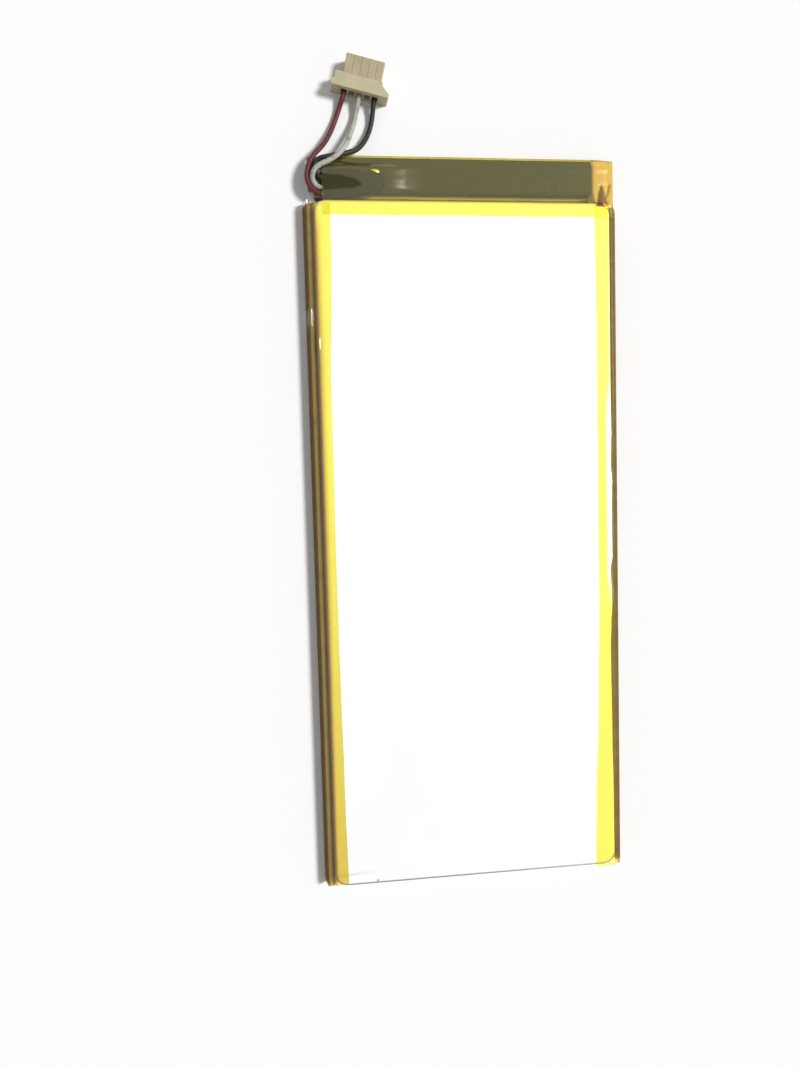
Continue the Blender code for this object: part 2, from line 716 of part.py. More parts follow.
def crimp_terminal(name, position, metal):
    """A terminal in its cavity: a box receptacle with an open mouth, and a round crimped barrel."""
    x = cavity_x(position)
    wide = CAVITY_WIDTH / 2 - SEAT_GAP
    high = CAVITY_HEIGHT / 2 - SEAT_GAP - TERMINAL_HEADROOM
    mouth = HOUSING_LENGTH / 2 - HOUSING_END_WALL - SEAT_GAP
    back = mouth - TERMINAL_LENGTH
    box = block("receptacle", (x - wide, back, IN_HOUSING - high), (x + wide, mouth, IN_HOUSING + high))
    barrel = bpy.data.meshes.new("barrel")
    shape = bmesh.new()
    barrel_place = Matrix.Translation((x, back - (CRIMP_LENGTH - JOIN) / 2, IN_HOUSING))
    bmesh.ops.create_cone(
        shape,
        cap_ends=True,
        segments=12,
        radius1=CRIMP_DIAMETER / 2,
        radius2=CRIMP_DIAMETER / 2,
        depth=CRIMP_LENGTH + JOIN,
        matrix=barrel_place @ Matrix.Rotation(math.pi / 2, 4, "X"),
    )
    shape.to_mesh(barrel)
    shape.free()
    solid = combine(box, [barrel], "UNION")
    bore = CONTACT_HOLE / 2
    low = (x - bore, mouth - CONTACT_WALL, IN_HOUSING - bore)
    high = (x + bore, mouth + JOIN, IN_HOUSING + bore)
    pocket = block("socket", low, high)
    terminal = place(name, combine(solid, [pocket], "DIFFERENCE"), metal)
    terminal.matrix_world = housing_place()


def lead_route(route, position):
    """A lead's points: its own from the board, then straight into the housing to the crimp."""
    rear = -HOUSING_LENGTH / 2
    inside = housing_place()
    x = cavity_x(position)
    entry = inside @ Vector((x, rear - LEAD_STRAIGHT, IN_HOUSING - LEAD_SAG))
    mouth = inside @ Vector((x, rear, IN_HOUSING))
    barrel_end = HOUSING_LENGTH / 2 - HOUSING_END_WALL - SEAT_GAP - TERMINAL_LENGTH - CRIMP_LENGTH
    crimp = inside @ Vector((x, barrel_end - SEAT_GAP, IN_HOUSING))
    chosen = [CORNER + Vector(point) * MM for point in route]
    return [*chosen, entry, mouth, crimp]


# Build


def build():
    clear_scene()
    foil = material("pouch_foil", (0.86, 0.87, 0.88), 0.35, 0.6)
    amber = material("polyimide_tape", (0.93, 0.72, 0.10), 0.3)
    green = material("solder_mask", (0.09, 0.10, 0.06), 0.45)
    paper = material("insulating_paper", (0.55, 0.62, 0.52), 0.8)
    nickel = material("nickel", (0.66, 0.64, 0.60), 0.35, 1.0)
    aluminium = material("aluminium", (0.80, 0.81, 0.82), 0.4, 1.0)
    epoxy = material("chip_epoxy", (0.03, 0.03, 0.03), 0.5)
    ceramic = material("chip_ceramic", (0.45, 0.36, 0.27), 0.5)
    solder = material("solder", (0.70, 0.70, 0.69), 0.3, 1.0)
    nylon = material("natural_nylon", (0.82, 0.76, 0.60), 0.45)
    contact = material("tinned_bronze", (0.72, 0.70, 0.66), 0.3, 1.0)
    leads = {
        "red": (material("red_insulation", (0.33, 0.05, 0.06), 0.45), RED_ROUTE, 0),
        "white": (material("white_insulation", (0.75, 0.75, 0.75), 0.45), WHITE_ROUTE, 2),
        "black": (material("black_insulation", (0.03, 0.03, 0.03), 0.45), BLACK_ROUTE, 4),
    }

    pouch_cell(foil)
    insulator_side = SEAL_SIDE - TERRACE_SIDE_CUT - TERRACE_CORNER
    plate(
        "terrace_insulator",
        (-insulator_side, CUP_END + 4 * SEAT_GAP, INSULATOR_BOTTOM),
        (insulator_side, TERRACE_END - 4 * SEAT_GAP, INSULATOR_BOTTOM + INSULATOR_THICKNESS),
        0.4 * MM,
        paper,
    )
    plate(
        "protection_board",
        (BOARD_LEFT, BOARD_NEAR, BOARD_BOTTOM),
        (BOARD_RIGHT, BOARD_FAR, BOARD_TOP),
        BOARD_CORNER,
        green,
    )
    plate_top = BOARD_BOTTOM - SEAT_GAP
    wide, deep = WELD_PLATE
    for (name, share), metal in zip(TABS.items(), (aluminium, nickel)):
        x = board_x(share)
        cell_tab(f"{name}_tab", x, metal)
        plate(
            f"{name}_weld_plate",
            (x - wide / 2, BOARD_MIDDLE - deep / 2, plate_top - WELD_PLATE_THICKNESS),
            (x + wide / 2, BOARD_MIDDLE + deep / 2, plate_top),
            0.3 * MM,
            nickel,
        )
    for name, sizes in CHIPS.items():
        legged_chip(name, *sizes, epoxy)
    for name, sizes in SMALL_PARTS.items():
        chip_part(name, *sizes, ceramic)
    for colour, (insulation, route, position) in leads.items():
        points = lead_route(route, position)
        solder_joint(f"{colour}_solder_joint", points[0], solder)
        tube(f"{colour}_lead", smooth_line(points, LEAD_STEP), LEAD_DIAMETER, insulation)
        crimp_terminal(f"{colour}_terminal", position, contact)
    connector_housing(nylon)
    edge_tape("left_edge_tape", -1, LEFT_TAPE_SHORT, amber)
    edge_tape("right_edge_tape", 1, RIGHT_TAPE_SHORT, amber)
    board_wrap_tape(amber)


build()
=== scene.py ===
"""A tablet battery: the sealed cell, its board under polyimide tape, its leads and its plug, on white."""

import math

import bmesh
import bpy
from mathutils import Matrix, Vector, geometry, noise


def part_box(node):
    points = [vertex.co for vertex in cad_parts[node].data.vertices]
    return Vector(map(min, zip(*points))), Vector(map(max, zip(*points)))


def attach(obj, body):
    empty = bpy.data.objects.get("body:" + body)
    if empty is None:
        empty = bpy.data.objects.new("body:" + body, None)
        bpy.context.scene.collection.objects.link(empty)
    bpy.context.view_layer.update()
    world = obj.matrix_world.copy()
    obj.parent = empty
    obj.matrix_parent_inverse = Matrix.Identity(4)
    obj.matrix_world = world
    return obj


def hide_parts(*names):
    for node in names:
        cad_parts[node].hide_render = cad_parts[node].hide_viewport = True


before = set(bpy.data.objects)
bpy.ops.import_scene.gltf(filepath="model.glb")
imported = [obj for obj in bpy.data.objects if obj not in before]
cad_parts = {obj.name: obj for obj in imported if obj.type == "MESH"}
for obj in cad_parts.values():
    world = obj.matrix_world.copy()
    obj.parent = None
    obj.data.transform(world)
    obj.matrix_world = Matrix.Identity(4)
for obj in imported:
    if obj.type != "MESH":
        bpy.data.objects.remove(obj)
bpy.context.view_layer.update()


# The pouch cell. A sheet of aluminium laminate is drawn into a shallow cup round the electrodes, closed with
# a second sheet, heat-sealed along its edges, and the two long seals are folded up against the cup.


def finish(name):
    """An empty node material, with its tree."""
    made = bpy.data.materials.new(name)
    made.use_nodes = True
    made.node_tree.nodes.clear()
    return made, made.node_tree


def node(tree, kind, values=None, family="ShaderNode", **settings):
    """A node with its settings, and its input values or the sockets that feed them."""
    made = tree.nodes.new(family + kind)
    for key, value in settings.items():
        setattr(made, key, value)
    for key, value in (values or {}).items():
        socket = made.inputs[key]
        if isinstance(value, bpy.types.NodeSocket):
            tree.links.new(value, socket)
        elif isinstance(value, tuple) and socket.type == "RGBA" and len(value) == 3:
            socket.default_value = (*value, 1.0)
        else:
            socket.default_value = value
    return made


def surfaced(made, kind, values):
    """The material again, with one shader of that kind and those inputs as its surface."""
    tree = made.node_tree
    output = tree.nodes.new("ShaderNodeOutputMaterial")
    tree.links.new(node(tree, kind, values).outputs[0], output.inputs["Surface"])
    return made


def ramp(tree, factor, *stops):
    """A colour ramp over that factor, each stop a place and a grey or a colour."""
    made = node(tree, "ValToRGB", {"Fac": factor})
    band = made.color_ramp
    while len(band.elements) < len(stops):
        band.elements.new(0.5)
    for element, (place, shade) in zip(band.elements, stops):
        element.position = place
        colour = shade if isinstance(shade, tuple) else (shade, shade, shade)
        element.color = (*colour, 1.0)
    return made.outputs["Color"]


def ripple(tree, size, detail=3.0, stretch=(1.0, 1.0, 1.0)):
    """Noise over the object, with features about that size in metres, drawn out along an axis by stretch."""
    here = node(tree, "TexCoord").outputs["Object"]
    spread = node(tree, "Mapping", {"Vector": here, "Scale": tuple(1 / (size * s) for s in stretch)})
    return node(tree, "TexNoise", {"Vector": spread.outputs[0], "Scale": 1.0, "Detail": detail}).outputs[0]


def relief(tree, height, depth, under=None):
    """A bump from that height, depth metres deep, over another bump where one is given."""
    values = {"Height": height, "Distance": depth, "Strength": 1.0}
    if under is not None:
        values["Normal"] = under
    return node(tree, "Bump", values).outputs[0]


def dress(name, *materials):
    """Gives a solid of the frame its finish."""
    slots = bpy.data.objects[name].material_slots
    for slot, made in zip(slots, materials * len(slots)):
        slot.material = made


def spot(tree):
    """The three Object coordinates, each as a socket."""
    return node(tree, "SeparateXYZ", {0: node(tree, "TexCoord").outputs["Object"]}).outputs


def step(tree, value, start, stop):
    """From 0 at start to 1 at stop, or the other way where start is the greater."""
    if start < stop:
        return node(tree, "MapRange", {0: value, 1: start, 2: stop}).outputs[0]
    return node(tree, "MapRange", {0: value, 1: stop, 2: start, 3: 1.0, 4: 0.0}).outputs[0]


def math_node(tree, operation, *values):
    """The result of one arithmetic step on those values or sockets."""
    return node(tree, "Math", dict(enumerate(values)), operation=operation).outputs[0]


def product(tree, share, *others):
    """The product of those shares: 1 only where each of them is 1."""
    for other in others:
        share = math_node(tree, "MULTIPLY", share, other)
    return share


def blend(tree, factor, low, high):
    """A mix of two colours, each a colour or a socket."""
    low = (*low, 1.0) if isinstance(low, tuple) else low
    high = (*high, 1.0) if isinstance(high, tuple) else high
    return node(tree, "Mix", {0: factor, 6: low, 7: high}, data_type="RGBA").outputs[2]


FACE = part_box("pouch_cell")[1][2]

# The dark triangle of painted shade under the wrap's folds at the far right corner: its axis across, its tip
# and its foot along, and how fast its half width grows from the tip.
CORNER_AXIS = 0.02335
CORNER_TIP = 0.0556
CORNER_FOOT = 0.0521
CORNER_SPREAD = 0.36
CORNER_SHADE_BROWN = (0.17, 0.12, 0.06)

# The faint crease at the near end, a painted grey line of shade, from its start at the left, and the nick
# beside it, a painted grey spot of shade.
CREASE_START = (-0.0224, -0.0578)
CREASE_SLOPE = 0.07
NICK = (-0.0172, -0.0591, FACE)


def corner_shade_mark(tree, x, y):
    """1 in the dark triangle of painted shade at the far right corner."""
    half_width = math_node(tree, "MULTIPLY_ADD", y, -CORNER_SPREAD, CORNER_TIP * CORNER_SPREAD)
    off_line = math_node(tree, "ABSOLUTE", math_node(tree, "ADD", x, -CORNER_AXIS))
    inside = step(tree, math_node(tree, "SUBTRACT", off_line, half_width), 0.00012, -0.00008)
    return product(tree, inside, step(tree, y, CORNER_FOOT, 0.0524))


def laminate_foil():
    """Satin foil, with painted shade and painted glints in the folded side seals, and painted shade at the
    drawn end.
    """
    made, tree = finish("laminate foil")
    soft = ripple(tree, 0.011, 2.0, (1.0, 2.2, 1.0))
    grain = ripple(tree, 0.00035, 2.0)
    cloud = ripple(tree, 0.02, 4.0)
    streaks = ripple(tree, 0.0005, 3.0, (1.0, 9.0, 1.0))
    bump = relief(tree, grain, 0.000004, relief(tree, soft, 0.00004))
    x, y, z = spot(tree)
    across = math_node(tree, "ABSOLUTE", x)
    on_right = step(tree, x, -0.001, 0.001)
    wander = math_node(tree, "MULTIPLY_ADD", streaks, 0.0004, math_node(tree, "ADD", across, -0.0002))
    wander = math_node(tree, "MULTIPLY_ADD", on_right, -0.00025, wander)
    clean = ramp(tree, cloud, (0.3, (0.95, 0.95, 0.95)), (0.7, (0.97, 0.97, 0.965)))

    # The folded seals are painted brown as shade from the groove beside the cup outwards, the right one paler
    # as it faces the lamp.
    left = blend(tree, step(tree, wander, 0.0247, 0.0249), (0.105, 0.07, 0.035), (0.20, 0.155, 0.085))
    right = blend(tree, step(tree, wander, 0.0242, 0.0250), (0.16, 0.11, 0.045), (0.30, 0.225, 0.10))
    folded = blend(tree, on_right, left, right)
    # Painted glints along the streaks in the folds.
    folded = blend(tree, step(tree, streaks, 0.60, 0.72), folded, (0.46, 0.38, 0.20))
    painted_fold_shade = product(
        tree,
        step(tree, wander, 0.02410, 0.02432),
        step(tree, z, 0.00015, 0.0004),
        step(tree, y, -0.0594, -0.0590),
        step(tree, y, 0.0521, 0.0517),
    )
    colour = blend(tree, painted_fold_shade, clean, folded)
    # Painted shade in the dark triangle under the wrap's folds.
    colour = blend(tree, corner_shade_mark(tree, x, y), colour, CORNER_SHADE_BROWN)

    # Painted shade on the top of the cup's near end, paler towards the right, and amber under the tapes.
    painted_end_shade = product(
        tree,
        step(tree, z, FACE - 0.00001, FACE - 0.00006),
        step(tree, z, 0.0020, 0.0022),
        step(tree, y, -0.0578, -0.0584),
        step(tree, across, 0.02460, 0.02450),
    )
    # dull here is the colour of that painted shade.
    dull = blend(tree, step(tree, x, -0.004, 0.022), (0.17, 0.17, 0.16), (0.42, 0.42, 0.42))
    dull = blend(tree, step(tree, across, 0.0219, 0.0222), dull, (0.50, 0.30, 0.14))
    colour = blend(tree, painted_end_shade, colour, dull)

    # A faint slanting crease and a nick at the left of the near end, both painted on the flat foil as grey
    # shade.
    base = CREASE_SLOPE * CREASE_START[0] - CREASE_START[1]
    from_crease = math_node(tree, "MULTIPLY_ADD", x, -CREASE_SLOPE, math_node(tree, "ADD", y, base))
    crease = step(tree, math_node(tree, "ABSOLUTE", from_crease), 0.00042, 0.00004)
    crease = product(tree, crease, step(tree, x, -0.0165, -0.0212), 0.5)
    colour = blend(tree, crease, colour, (0.62, 0.64, 0.57))
    here = node(tree, "TexCoord").outputs["Object"]
    from_nick = node(tree, "VectorMath", {0: here, 1: NICK}, operation="DISTANCE").outputs["Value"]
    colour = blend(tree, step(tree, from_nick, 0.00032, 0.00010), colour, (0.42, 0.42, 0.41))
    values = {
        "Base Color": colour,
        "Metallic": 0.25,
        "Roughness": ramp(tree, cloud, (0.3, 0.34), (0.7, 0.46)),
        "Normal": bump,
    }
    return surfaced(made, "BsdfPrincipled", values)


dress("pouch_cell", laminate_foil())


# The insulating paper. A strip of fish paper lies on the cell's terrace, so that nothing under the board
# can touch the foil.


def plain_finish(name, light, dark, roughness, metallic=0.0, size=0.001, depth=0.00001, stretch=(1, 1, 1)):
    """A finish whose colour and gloss drift a little between two shades, with a fine relief."""
    made, tree = finish(name)
    drift = ripple(tree, size, 4.0, stretch)
    values = {
        "Base Color": ramp(tree, drift, (0.3, dark), (0.7, light)),
        "Metallic": metallic,
        "Roughness": ramp(tree, drift, (0.3, roughness * 0.85), (0.7, min(1.0, roughness * 1.15))),
        "Normal": relief(tree, drift, depth),
    }
    return surfaced(made, "BsdfPrincipled", values)


def fish_paper():
    """Matt brown paper, with a pale line of painted highlight beside the board, and a pale end under the
    clear film.
    """
    made, tree = finish("fish paper")
    fibre = ripple(tree, 0.001, 4.0, (4, 1, 1))
    waver = ripple(tree, 0.004, 2.0)
    x, y, z = spot(tree)
    wavering = math_node(tree, "MULTIPLY_ADD", waver, 0.0003, y)
    # A painted highlight: the pale line along the slope beside the board.
    line = product(tree, step(tree, wavering, 0.05375, 0.05395), step(tree, wavering, 0.05440, 0.05420))
    brown = ramp(tree, fibre, (0.3, (0.14, 0.11, 0.065)), (0.7, (0.20, 0.16, 0.095)))
    colour = blend(tree, line, brown, (0.62, 0.54, 0.34))
    colour = blend(tree, step(tree, x, 0.0216, 0.0219), colour, (0.90, 0.88, 0.82))
    # Painted shade in the dark triangle under the wrap's folds.
    colour = blend(tree, corner_shade_mark(tree, x, y), colour, CORNER_SHADE_BROWN)
    values = {"Base Color": colour, "Roughness": 0.8, "Normal": relief(tree, fibre, 0.00001)}
    return surfaced(made, "BsdfPrincipled", values)


dress("terrace_insulator", fish_paper())


# The cell's tabs and the weld plates. The positive tab is soft aluminium and the negative one nickel; each is
# folded back under the board and spot-welded to a nickel plate there.

aluminium_strip = plain_finish(
    "aluminium strip", (0.86, 0.87, 0.88), (0.70, 0.71, 0.72), 0.38, 1.0, 0.0004, stretch=(1, 8, 1)
)
nickel_strip = plain_finish(
    "nickel strip", (0.72, 0.69, 0.63), (0.58, 0.55, 0.50), 0.32, 1.0, 0.0004, stretch=(1, 8, 1)
)
dress("positive_tab", aluminium_strip)
dress("negative_tab", nickel_strip)
dress("positive_weld_plate", nickel_strip)
dress("negative_weld_plate", nickel_strip)


# The protection board. A narrow strip of glass-epoxy laminate under dark solder mask, its copper tracks
# showing faintly through the lacquer.

TRACKS_PER_METRE = (260.0, 900.0, 1.0)


def solder_mask():
    """Dark lacquer with tracks showing through it, off the laminate at the board's left end."""
    made, tree = finish("dark solder mask")
    here = node(tree, "TexCoord").outputs["Object"]
    spread = node(tree, "Mapping", {"Vector": here, "Scale": TRACKS_PER_METRE}).outputs[0]
    layout = {"Vector": spread, "Scale": 1.0, "Mortar Size": 0.03, "Brick Width": 1.4, "Row Height": 1.0}
    tracks = node(tree, "TexBrick", layout, offset=0.37).outputs["Fac"]
    drift = ripple(tree, 0.006, 3.0, (3, 1, 1))
    lacquer = ramp(tree, drift, (0.3, (0.013, 0.013, 0.012)), (0.7, (0.026, 0.024, 0.018)))
    colour = blend(tree, tracks, lacquer, (0.040, 0.033, 0.022))
    bare_end = step(tree, spot(tree)[0], -0.0229, -0.0232)
    values = {
        "Base Color": blend(tree, bare_end, colour, (0.27, 0.225, 0.14)),
        "Roughness": 0.42,
        "Specular IOR Level": 0.25,
        "Normal": relief(tree, tracks, 0.00003),
    }
    return surfaced(made, "BsdfPrincipled", values)


dress("protection_board", solder_mask())


# The parts under the board: the protection controller and its twin switch in black moulded epoxy, two chip
# resistors, two chip capacitors and the thermistor in fired ceramic.

moulded_epoxy = plain_finish("moulded epoxy", (0.035, 0.035, 0.037), (0.022, 0.022, 0.023), 0.55, 0.0, 0.0002)
fired_ceramic = plain_finish("fired ceramic", (0.50, 0.40, 0.29), (0.38, 0.30, 0.21), 0.5, 0.0, 0.0003)
for chip in ("protection_chip", "switch_chip"):
    dress(chip, moulded_epoxy)
for part in ("supply_resistor", "sense_resistor", "filter_capacitor", "output_capacitor", "thermistor"):
    dress(part, fired_ceramic)


# The solder joints. Three bright domes in a row across the board, where the stripped ends of the leads are
# soldered to it.

bright_solder = plain_finish("bright solder", (0.76, 0.76, 0.75), (0.62, 0.62, 0.61), 0.26, 1.0, 0.0004)
for colour in ("red", "white", "black"):
    dress(f"{colour}_solder_joint", bright_solder)


# The leads: three stranded 28-gauge wires in PVC, positive, temperature and negative. They leave the board
# at its left end, curl over the corner of the pack and lie down to the plug.

LEAD_DIAMETER = 0.0008
LEAD_UNEVENNESS = 0.00003
LEAD_SIDES = 20
LEAD_STEPS = 5

# Each lead's centre line, from its solder joint to its terminal.
LEAD_ROUTES = {
    "red": (
        (-0.01570, 0.05485, 0.00250), (-0.01800, 0.05470, 0.00250), (-0.01980, 0.05420, 0.00250),
        (-0.02140, 0.05380, 0.00250), (-0.02270, 0.05370, 0.00250), (-0.02380, 0.05405, 0.00250),
        (-0.02460, 0.05475, 0.00250), (-0.02505, 0.05565, 0.00250), (-0.02515, 0.05670, 0.00250),
        (-0.02495, 0.05780, 0.00250), (-0.02450, 0.05885, 0.00260), (-0.02385, 0.05985, 0.00250),
        (-0.02300, 0.06080, 0.00220), (-0.02210, 0.06205, 0.00160), (-0.02120, 0.06375, 0.00100),
        (-0.02050, 0.06540, 0.00064), (-0.01992, 0.06690, 0.00056), (-0.01945, 0.06810, 0.00082),
        (-0.01905, 0.06915, 0.00128), (-0.01884, 0.07003, 0.00140), (-0.01857, 0.07120, 0.00140),
    ),
    "white": (
        (-0.01540, 0.05605, 0.00250), (-0.01720, 0.05590, 0.00250), (-0.01900, 0.05550, 0.00250),
        (-0.02050, 0.05505, 0.00250), (-0.02170, 0.05475, 0.00250), (-0.02275, 0.05467, 0.00250),
        (-0.02353, 0.05488, 0.00250), (-0.02409, 0.05545, 0.00264), (-0.02430, 0.05622, 0.00294),
        (-0.02408, 0.05698, 0.00325), (-0.02358, 0.05754, 0.00346), (-0.02285, 0.05798, 0.00358),
        (-0.02205, 0.05834, 0.00362), (-0.02118, 0.05878, 0.00362), (-0.02030, 0.05940, 0.00355),
        (-0.01950, 0.06025, 0.00335), (-0.01875, 0.06150, 0.00270), (-0.01805, 0.06320, 0.00188),
        (-0.01748, 0.06490, 0.00112), (-0.01708, 0.06635, 0.00074), (-0.01680, 0.06760, 0.00095),
        (-0.01661, 0.06859, 0.00128), (-0.01641, 0.06947, 0.00140), (-0.01614, 0.07064, 0.00140),
    ),
    "black": (
        (-0.01540, 0.05725, 0.00250), (-0.01720, 0.05710, 0.00250), (-0.01900, 0.05670, 0.00250),
        (-0.02040, 0.05635, 0.00250), (-0.02140, 0.05616, 0.00250), (-0.02235, 0.05613, 0.00250),
        (-0.02315, 0.05633, 0.00250), (-0.02372, 0.05690, 0.00250), (-0.02394, 0.05768, 0.00250),
        (-0.02374, 0.05846, 0.00262), (-0.02318, 0.05902, 0.00278), (-0.02235, 0.05928, 0.00286),
        (-0.02140, 0.05948, 0.00282), (-0.01980, 0.05985, 0.00258), (-0.01820, 0.06035, 0.00224),
        (-0.01690, 0.06105, 0.00175), (-0.01580, 0.06235, 0.00125), (-0.01500, 0.06395, 0.00082),
        (-0.01452, 0.06550, 0.00066), (-0.01429, 0.06685, 0.00088), (-0.01417, 0.06803, 0.00128),
        (-0.01397, 0.06891, 0.00140), (-0.01370, 0.07008, 0.00140),
    ),
}


def smooth_line(points, steps):
    """The smooth curve through those points, in so many steps between each two."""
    points = [Vector(p) for p in points]
    ends = [points[0] * 2 - points[1], *points, points[-1] * 2 - points[-2]]
    line = []
    for before, start, stop, after in zip(ends, ends[1:], ends[2:], ends[3:]):
        leave = start + (stop - before) / 6
        arrive = stop - (after - start) / 6
        line += geometry.interpolate_bezier(start, leave, arrive, stop, steps + 1)[:-1]
    return [*line, points[-1]]


def insulation(name, light, dark, specks=0.0):
    """Extruded PVC, a little uneven, with specks of dirt on the white one."""
    made, tree = finish(name)
    drift = ripple(tree, 0.0012, 3.0)
    colour = ramp(tree, drift, (0.3, dark), (0.7, light))
    if specks:
        dirt = ripple(tree, 0.0006, 2.0, (1, 1.8, 1))
        spots = ramp(tree, dirt, (0.56, 1.0), (0.66, 1.0 - specks))
        dirtied = node(tree, "Mix", {0: 1.0, 6: colour, 7: spots}, data_type="RGBA", blend_type="MULTIPLY")
        colour = dirtied.outputs[2]
    values = {
        "Base Color": colour,
        "Roughness": 0.5,
        "Specular IOR Level": 0.3,
        "Normal": relief(tree, drift, 0.00001),
    }
    return surfaced(made, "BsdfPrincipled", values)


INSULATIONS = {
    "red": insulation("red insulation", (0.130, 0.026, 0.027), (0.090, 0.020, 0.021)),
    "white": insulation("white insulation", (0.48, 0.47, 0.41), (0.38, 0.375, 0.32), 0.5),
    "black": insulation("black insulation", (0.020, 0.020, 0.016), (0.012, 0.012, 0.010)),
}


def sheath_tree():
    """Sweeps a round section down the wire's path and lets its surface swell and shrink a little."""
    tree = bpy.data.node_groups.new("extruded sheath", "GeometryNodeTree")
    sockets = (
        ("Path", "Geometry"),
        ("Diameter", "Float"),
        ("Sides", "Int"),
        ("Unevenness", "Float"),
        ("Feature Size", "Float"),
        ("Seed", "Float"),
        ("Material", "Material"),
    )
    for label, kind in sockets:
        tree.interface.new_socket(label, in_out="INPUT", socket_type=f"NodeSocket{kind}")
    tree.interface.new_socket("Sheath", in_out="OUTPUT", socket_type="NodeSocketGeometry")

    def add(kind, values=None, **settings):
        """A node of this tree by its full name, as geometry trees mix several families."""
        return node(tree, kind, values, family="", **settings)

    given = add("NodeGroupInput").outputs
    radius = add("ShaderNodeMath", {0: given["Diameter"], 1: 2.0}, operation="DIVIDE").outputs[0]
    circle = {"Resolution": given["Sides"], "Radius": radius}
    section = add("GeometryNodeCurvePrimitiveCircle", circle).outputs[0]
    sweep = {"Curve": given["Path"], "Profile Curve": section, "Fill Caps": True}
    swept = add("GeometryNodeCurveToMesh", sweep).outputs[0]
    places = add("GeometryNodeInputPosition").outputs[0]
    spread = add("ShaderNodeMath", {0: 1.0, 1: given["Feature Size"]}, operation="DIVIDE").outputs[0]
    swell = add(
        "ShaderNodeTexNoise",
        {"Vector": places, "W": given["Seed"], "Scale": spread, "Detail": 2.0},
        noise_dimensions="4D",
    ).outputs[0]
    centred = add("ShaderNodeMath", {0: swell, 1: 0.5}, operation="SUBTRACT").outputs[0]
    lift = add("ShaderNodeMath", {0: centred, 1: given["Unevenness"]}, operation="MULTIPLY").outputs[0]
    outward = add("GeometryNodeInputNormal").outputs[0]
    shift = add("ShaderNodeVectorMath", {0: outward, "Scale": lift}, operation="SCALE").outputs[0]
    moved = add("GeometryNodeSetPosition", {"Geometry": swept, "Offset": shift}).outputs[0]
    real = add("GeometryNodeRealizeInstances", {"Geometry": moved}).outputs[0]
    dressed = add("GeometryNodeSetMaterial", {"Geometry": real, "Material": given["Material"]}).outputs[0]
    tree.links.new(dressed, add("NodeGroupOutput").inputs[0])
    return tree


def sheath(name, line, tree, sizes):
    """A plain mesh made by the tree down that line."""
    shape = bpy.data.curves.new(name, "CURVE")
    shape.dimensions = "3D"
    spline = shape.splines.new("POLY")
    spline.points.add(len(line) - 1)
    for target, point in zip(spline.points, line):
        target.co = (*point, 1.0)
    guide = bpy.data.objects.new(name, shape)
    bpy.context.scene.collection.objects.link(guide)
    made_by = guide.modifiers.new("sheath", "NODES")
    made_by.node_group = tree
    for socket in tree.interface.items_tree:
        if socket.in_out == "INPUT" and socket.name in sizes:
            made_by[socket.identifier] = sizes[socket.name]
    bpy.context.view_layer.update()
    mesh = bpy.data.meshes.new_from_object(guide.evaluated_get(bpy.context.evaluated_depsgraph_get()))
    bpy.data.objects.remove(guide, do_unlink=True)
    mesh.shade_smooth()
    mesh.set_sharp_from_angle(angle=math.radians(50))
    piece = bpy.data.objects.new(name, mesh)
    bpy.context.scene.collection.objects.link(piece)
    return piece


sheaths = sheath_tree()
for number, (colour, route) in enumerate(LEAD_ROUTES.items()):
    sizes = {
        "Diameter": LEAD_DIAMETER,
        "Sides": LEAD_SIDES,
        "Unevenness": LEAD_UNEVENNESS,
        "Feature Size": 0.002,
        "Seed": 1.7 * number,
        "Material": INSULATIONS[colour],
    }
    line = smooth_line(route, LEAD_STEPS)
    wire = sheath(f"{colour}_wire", line, sheaths, sizes)
    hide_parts(f"{colour}_lead")
    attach(wire, "root")


# The potting. A dab of black glue is laid over the leads where they meet the board and smoothed out under
# the tape, so that a pull on the plug doesn't reach the joints.


def mesh_piece(name, mesh, material):
    """A smooth piece of that mesh in that finish."""
    made = bpy.data.objects.new(name, mesh)
    bpy.context.scene.collection.objects.link(made)
    mesh.materials.append(material)
    mesh.shade_smooth()
    return made


def lofted(name, rings, closed=False, caps=False):
    """A mesh through rows of as many points each."""
    shape = bmesh.new()
    rows = [[shape.verts.new(point) for point in ring] for ring in rings]
    across = len(rings[0])
    for near, far in zip(rows, rows[1:]):
        for i in range(across if closed else across - 1):
            j = (i + 1) % across
            shape.faces.new((near[i], near[j], far[j], far[i]))
    if caps:
        shape.faces.new(rows[0])
        shape.faces.new(rows[-1])
    bmesh.ops.recalc_face_normals(shape, faces=shape.faces)
    mesh = bpy.data.meshes.new(name)
    shape.to_mesh(mesh)
    shape.free()
    return mesh


def black_glue():
    """Matt black glue, thinner and paler towards its right end."""
    made, tree = finish("black glue")
    along = step(tree, spot(tree)[0], -0.0172, -0.0152)
    drift = ripple(tree, 0.0015, 3.0, (2, 1, 1))
    values = {
        "Base Color": ramp(tree, along, (0.0, (0.010, 0.010, 0.009)), (1.0, (0.020, 0.018, 0.014))),
        "Roughness": 0.7,
        "Specular IOR Level": 0.1,
        "Normal": relief(tree, drift, 0.00005),
    }
    return surfaced(made, "BsdfPrincipled", values)


GLUE_TOP = 0.002925
GLUE_HALF_WIDTH = 0.0023
GLUE_LIFT = 0.00002
GLUE_CENTRE = (-0.0215, 0.05525)
GLUE_SLANT = 0.06
GLUE_SIDES = 24
GLUE_SQUARENESS = 0.35

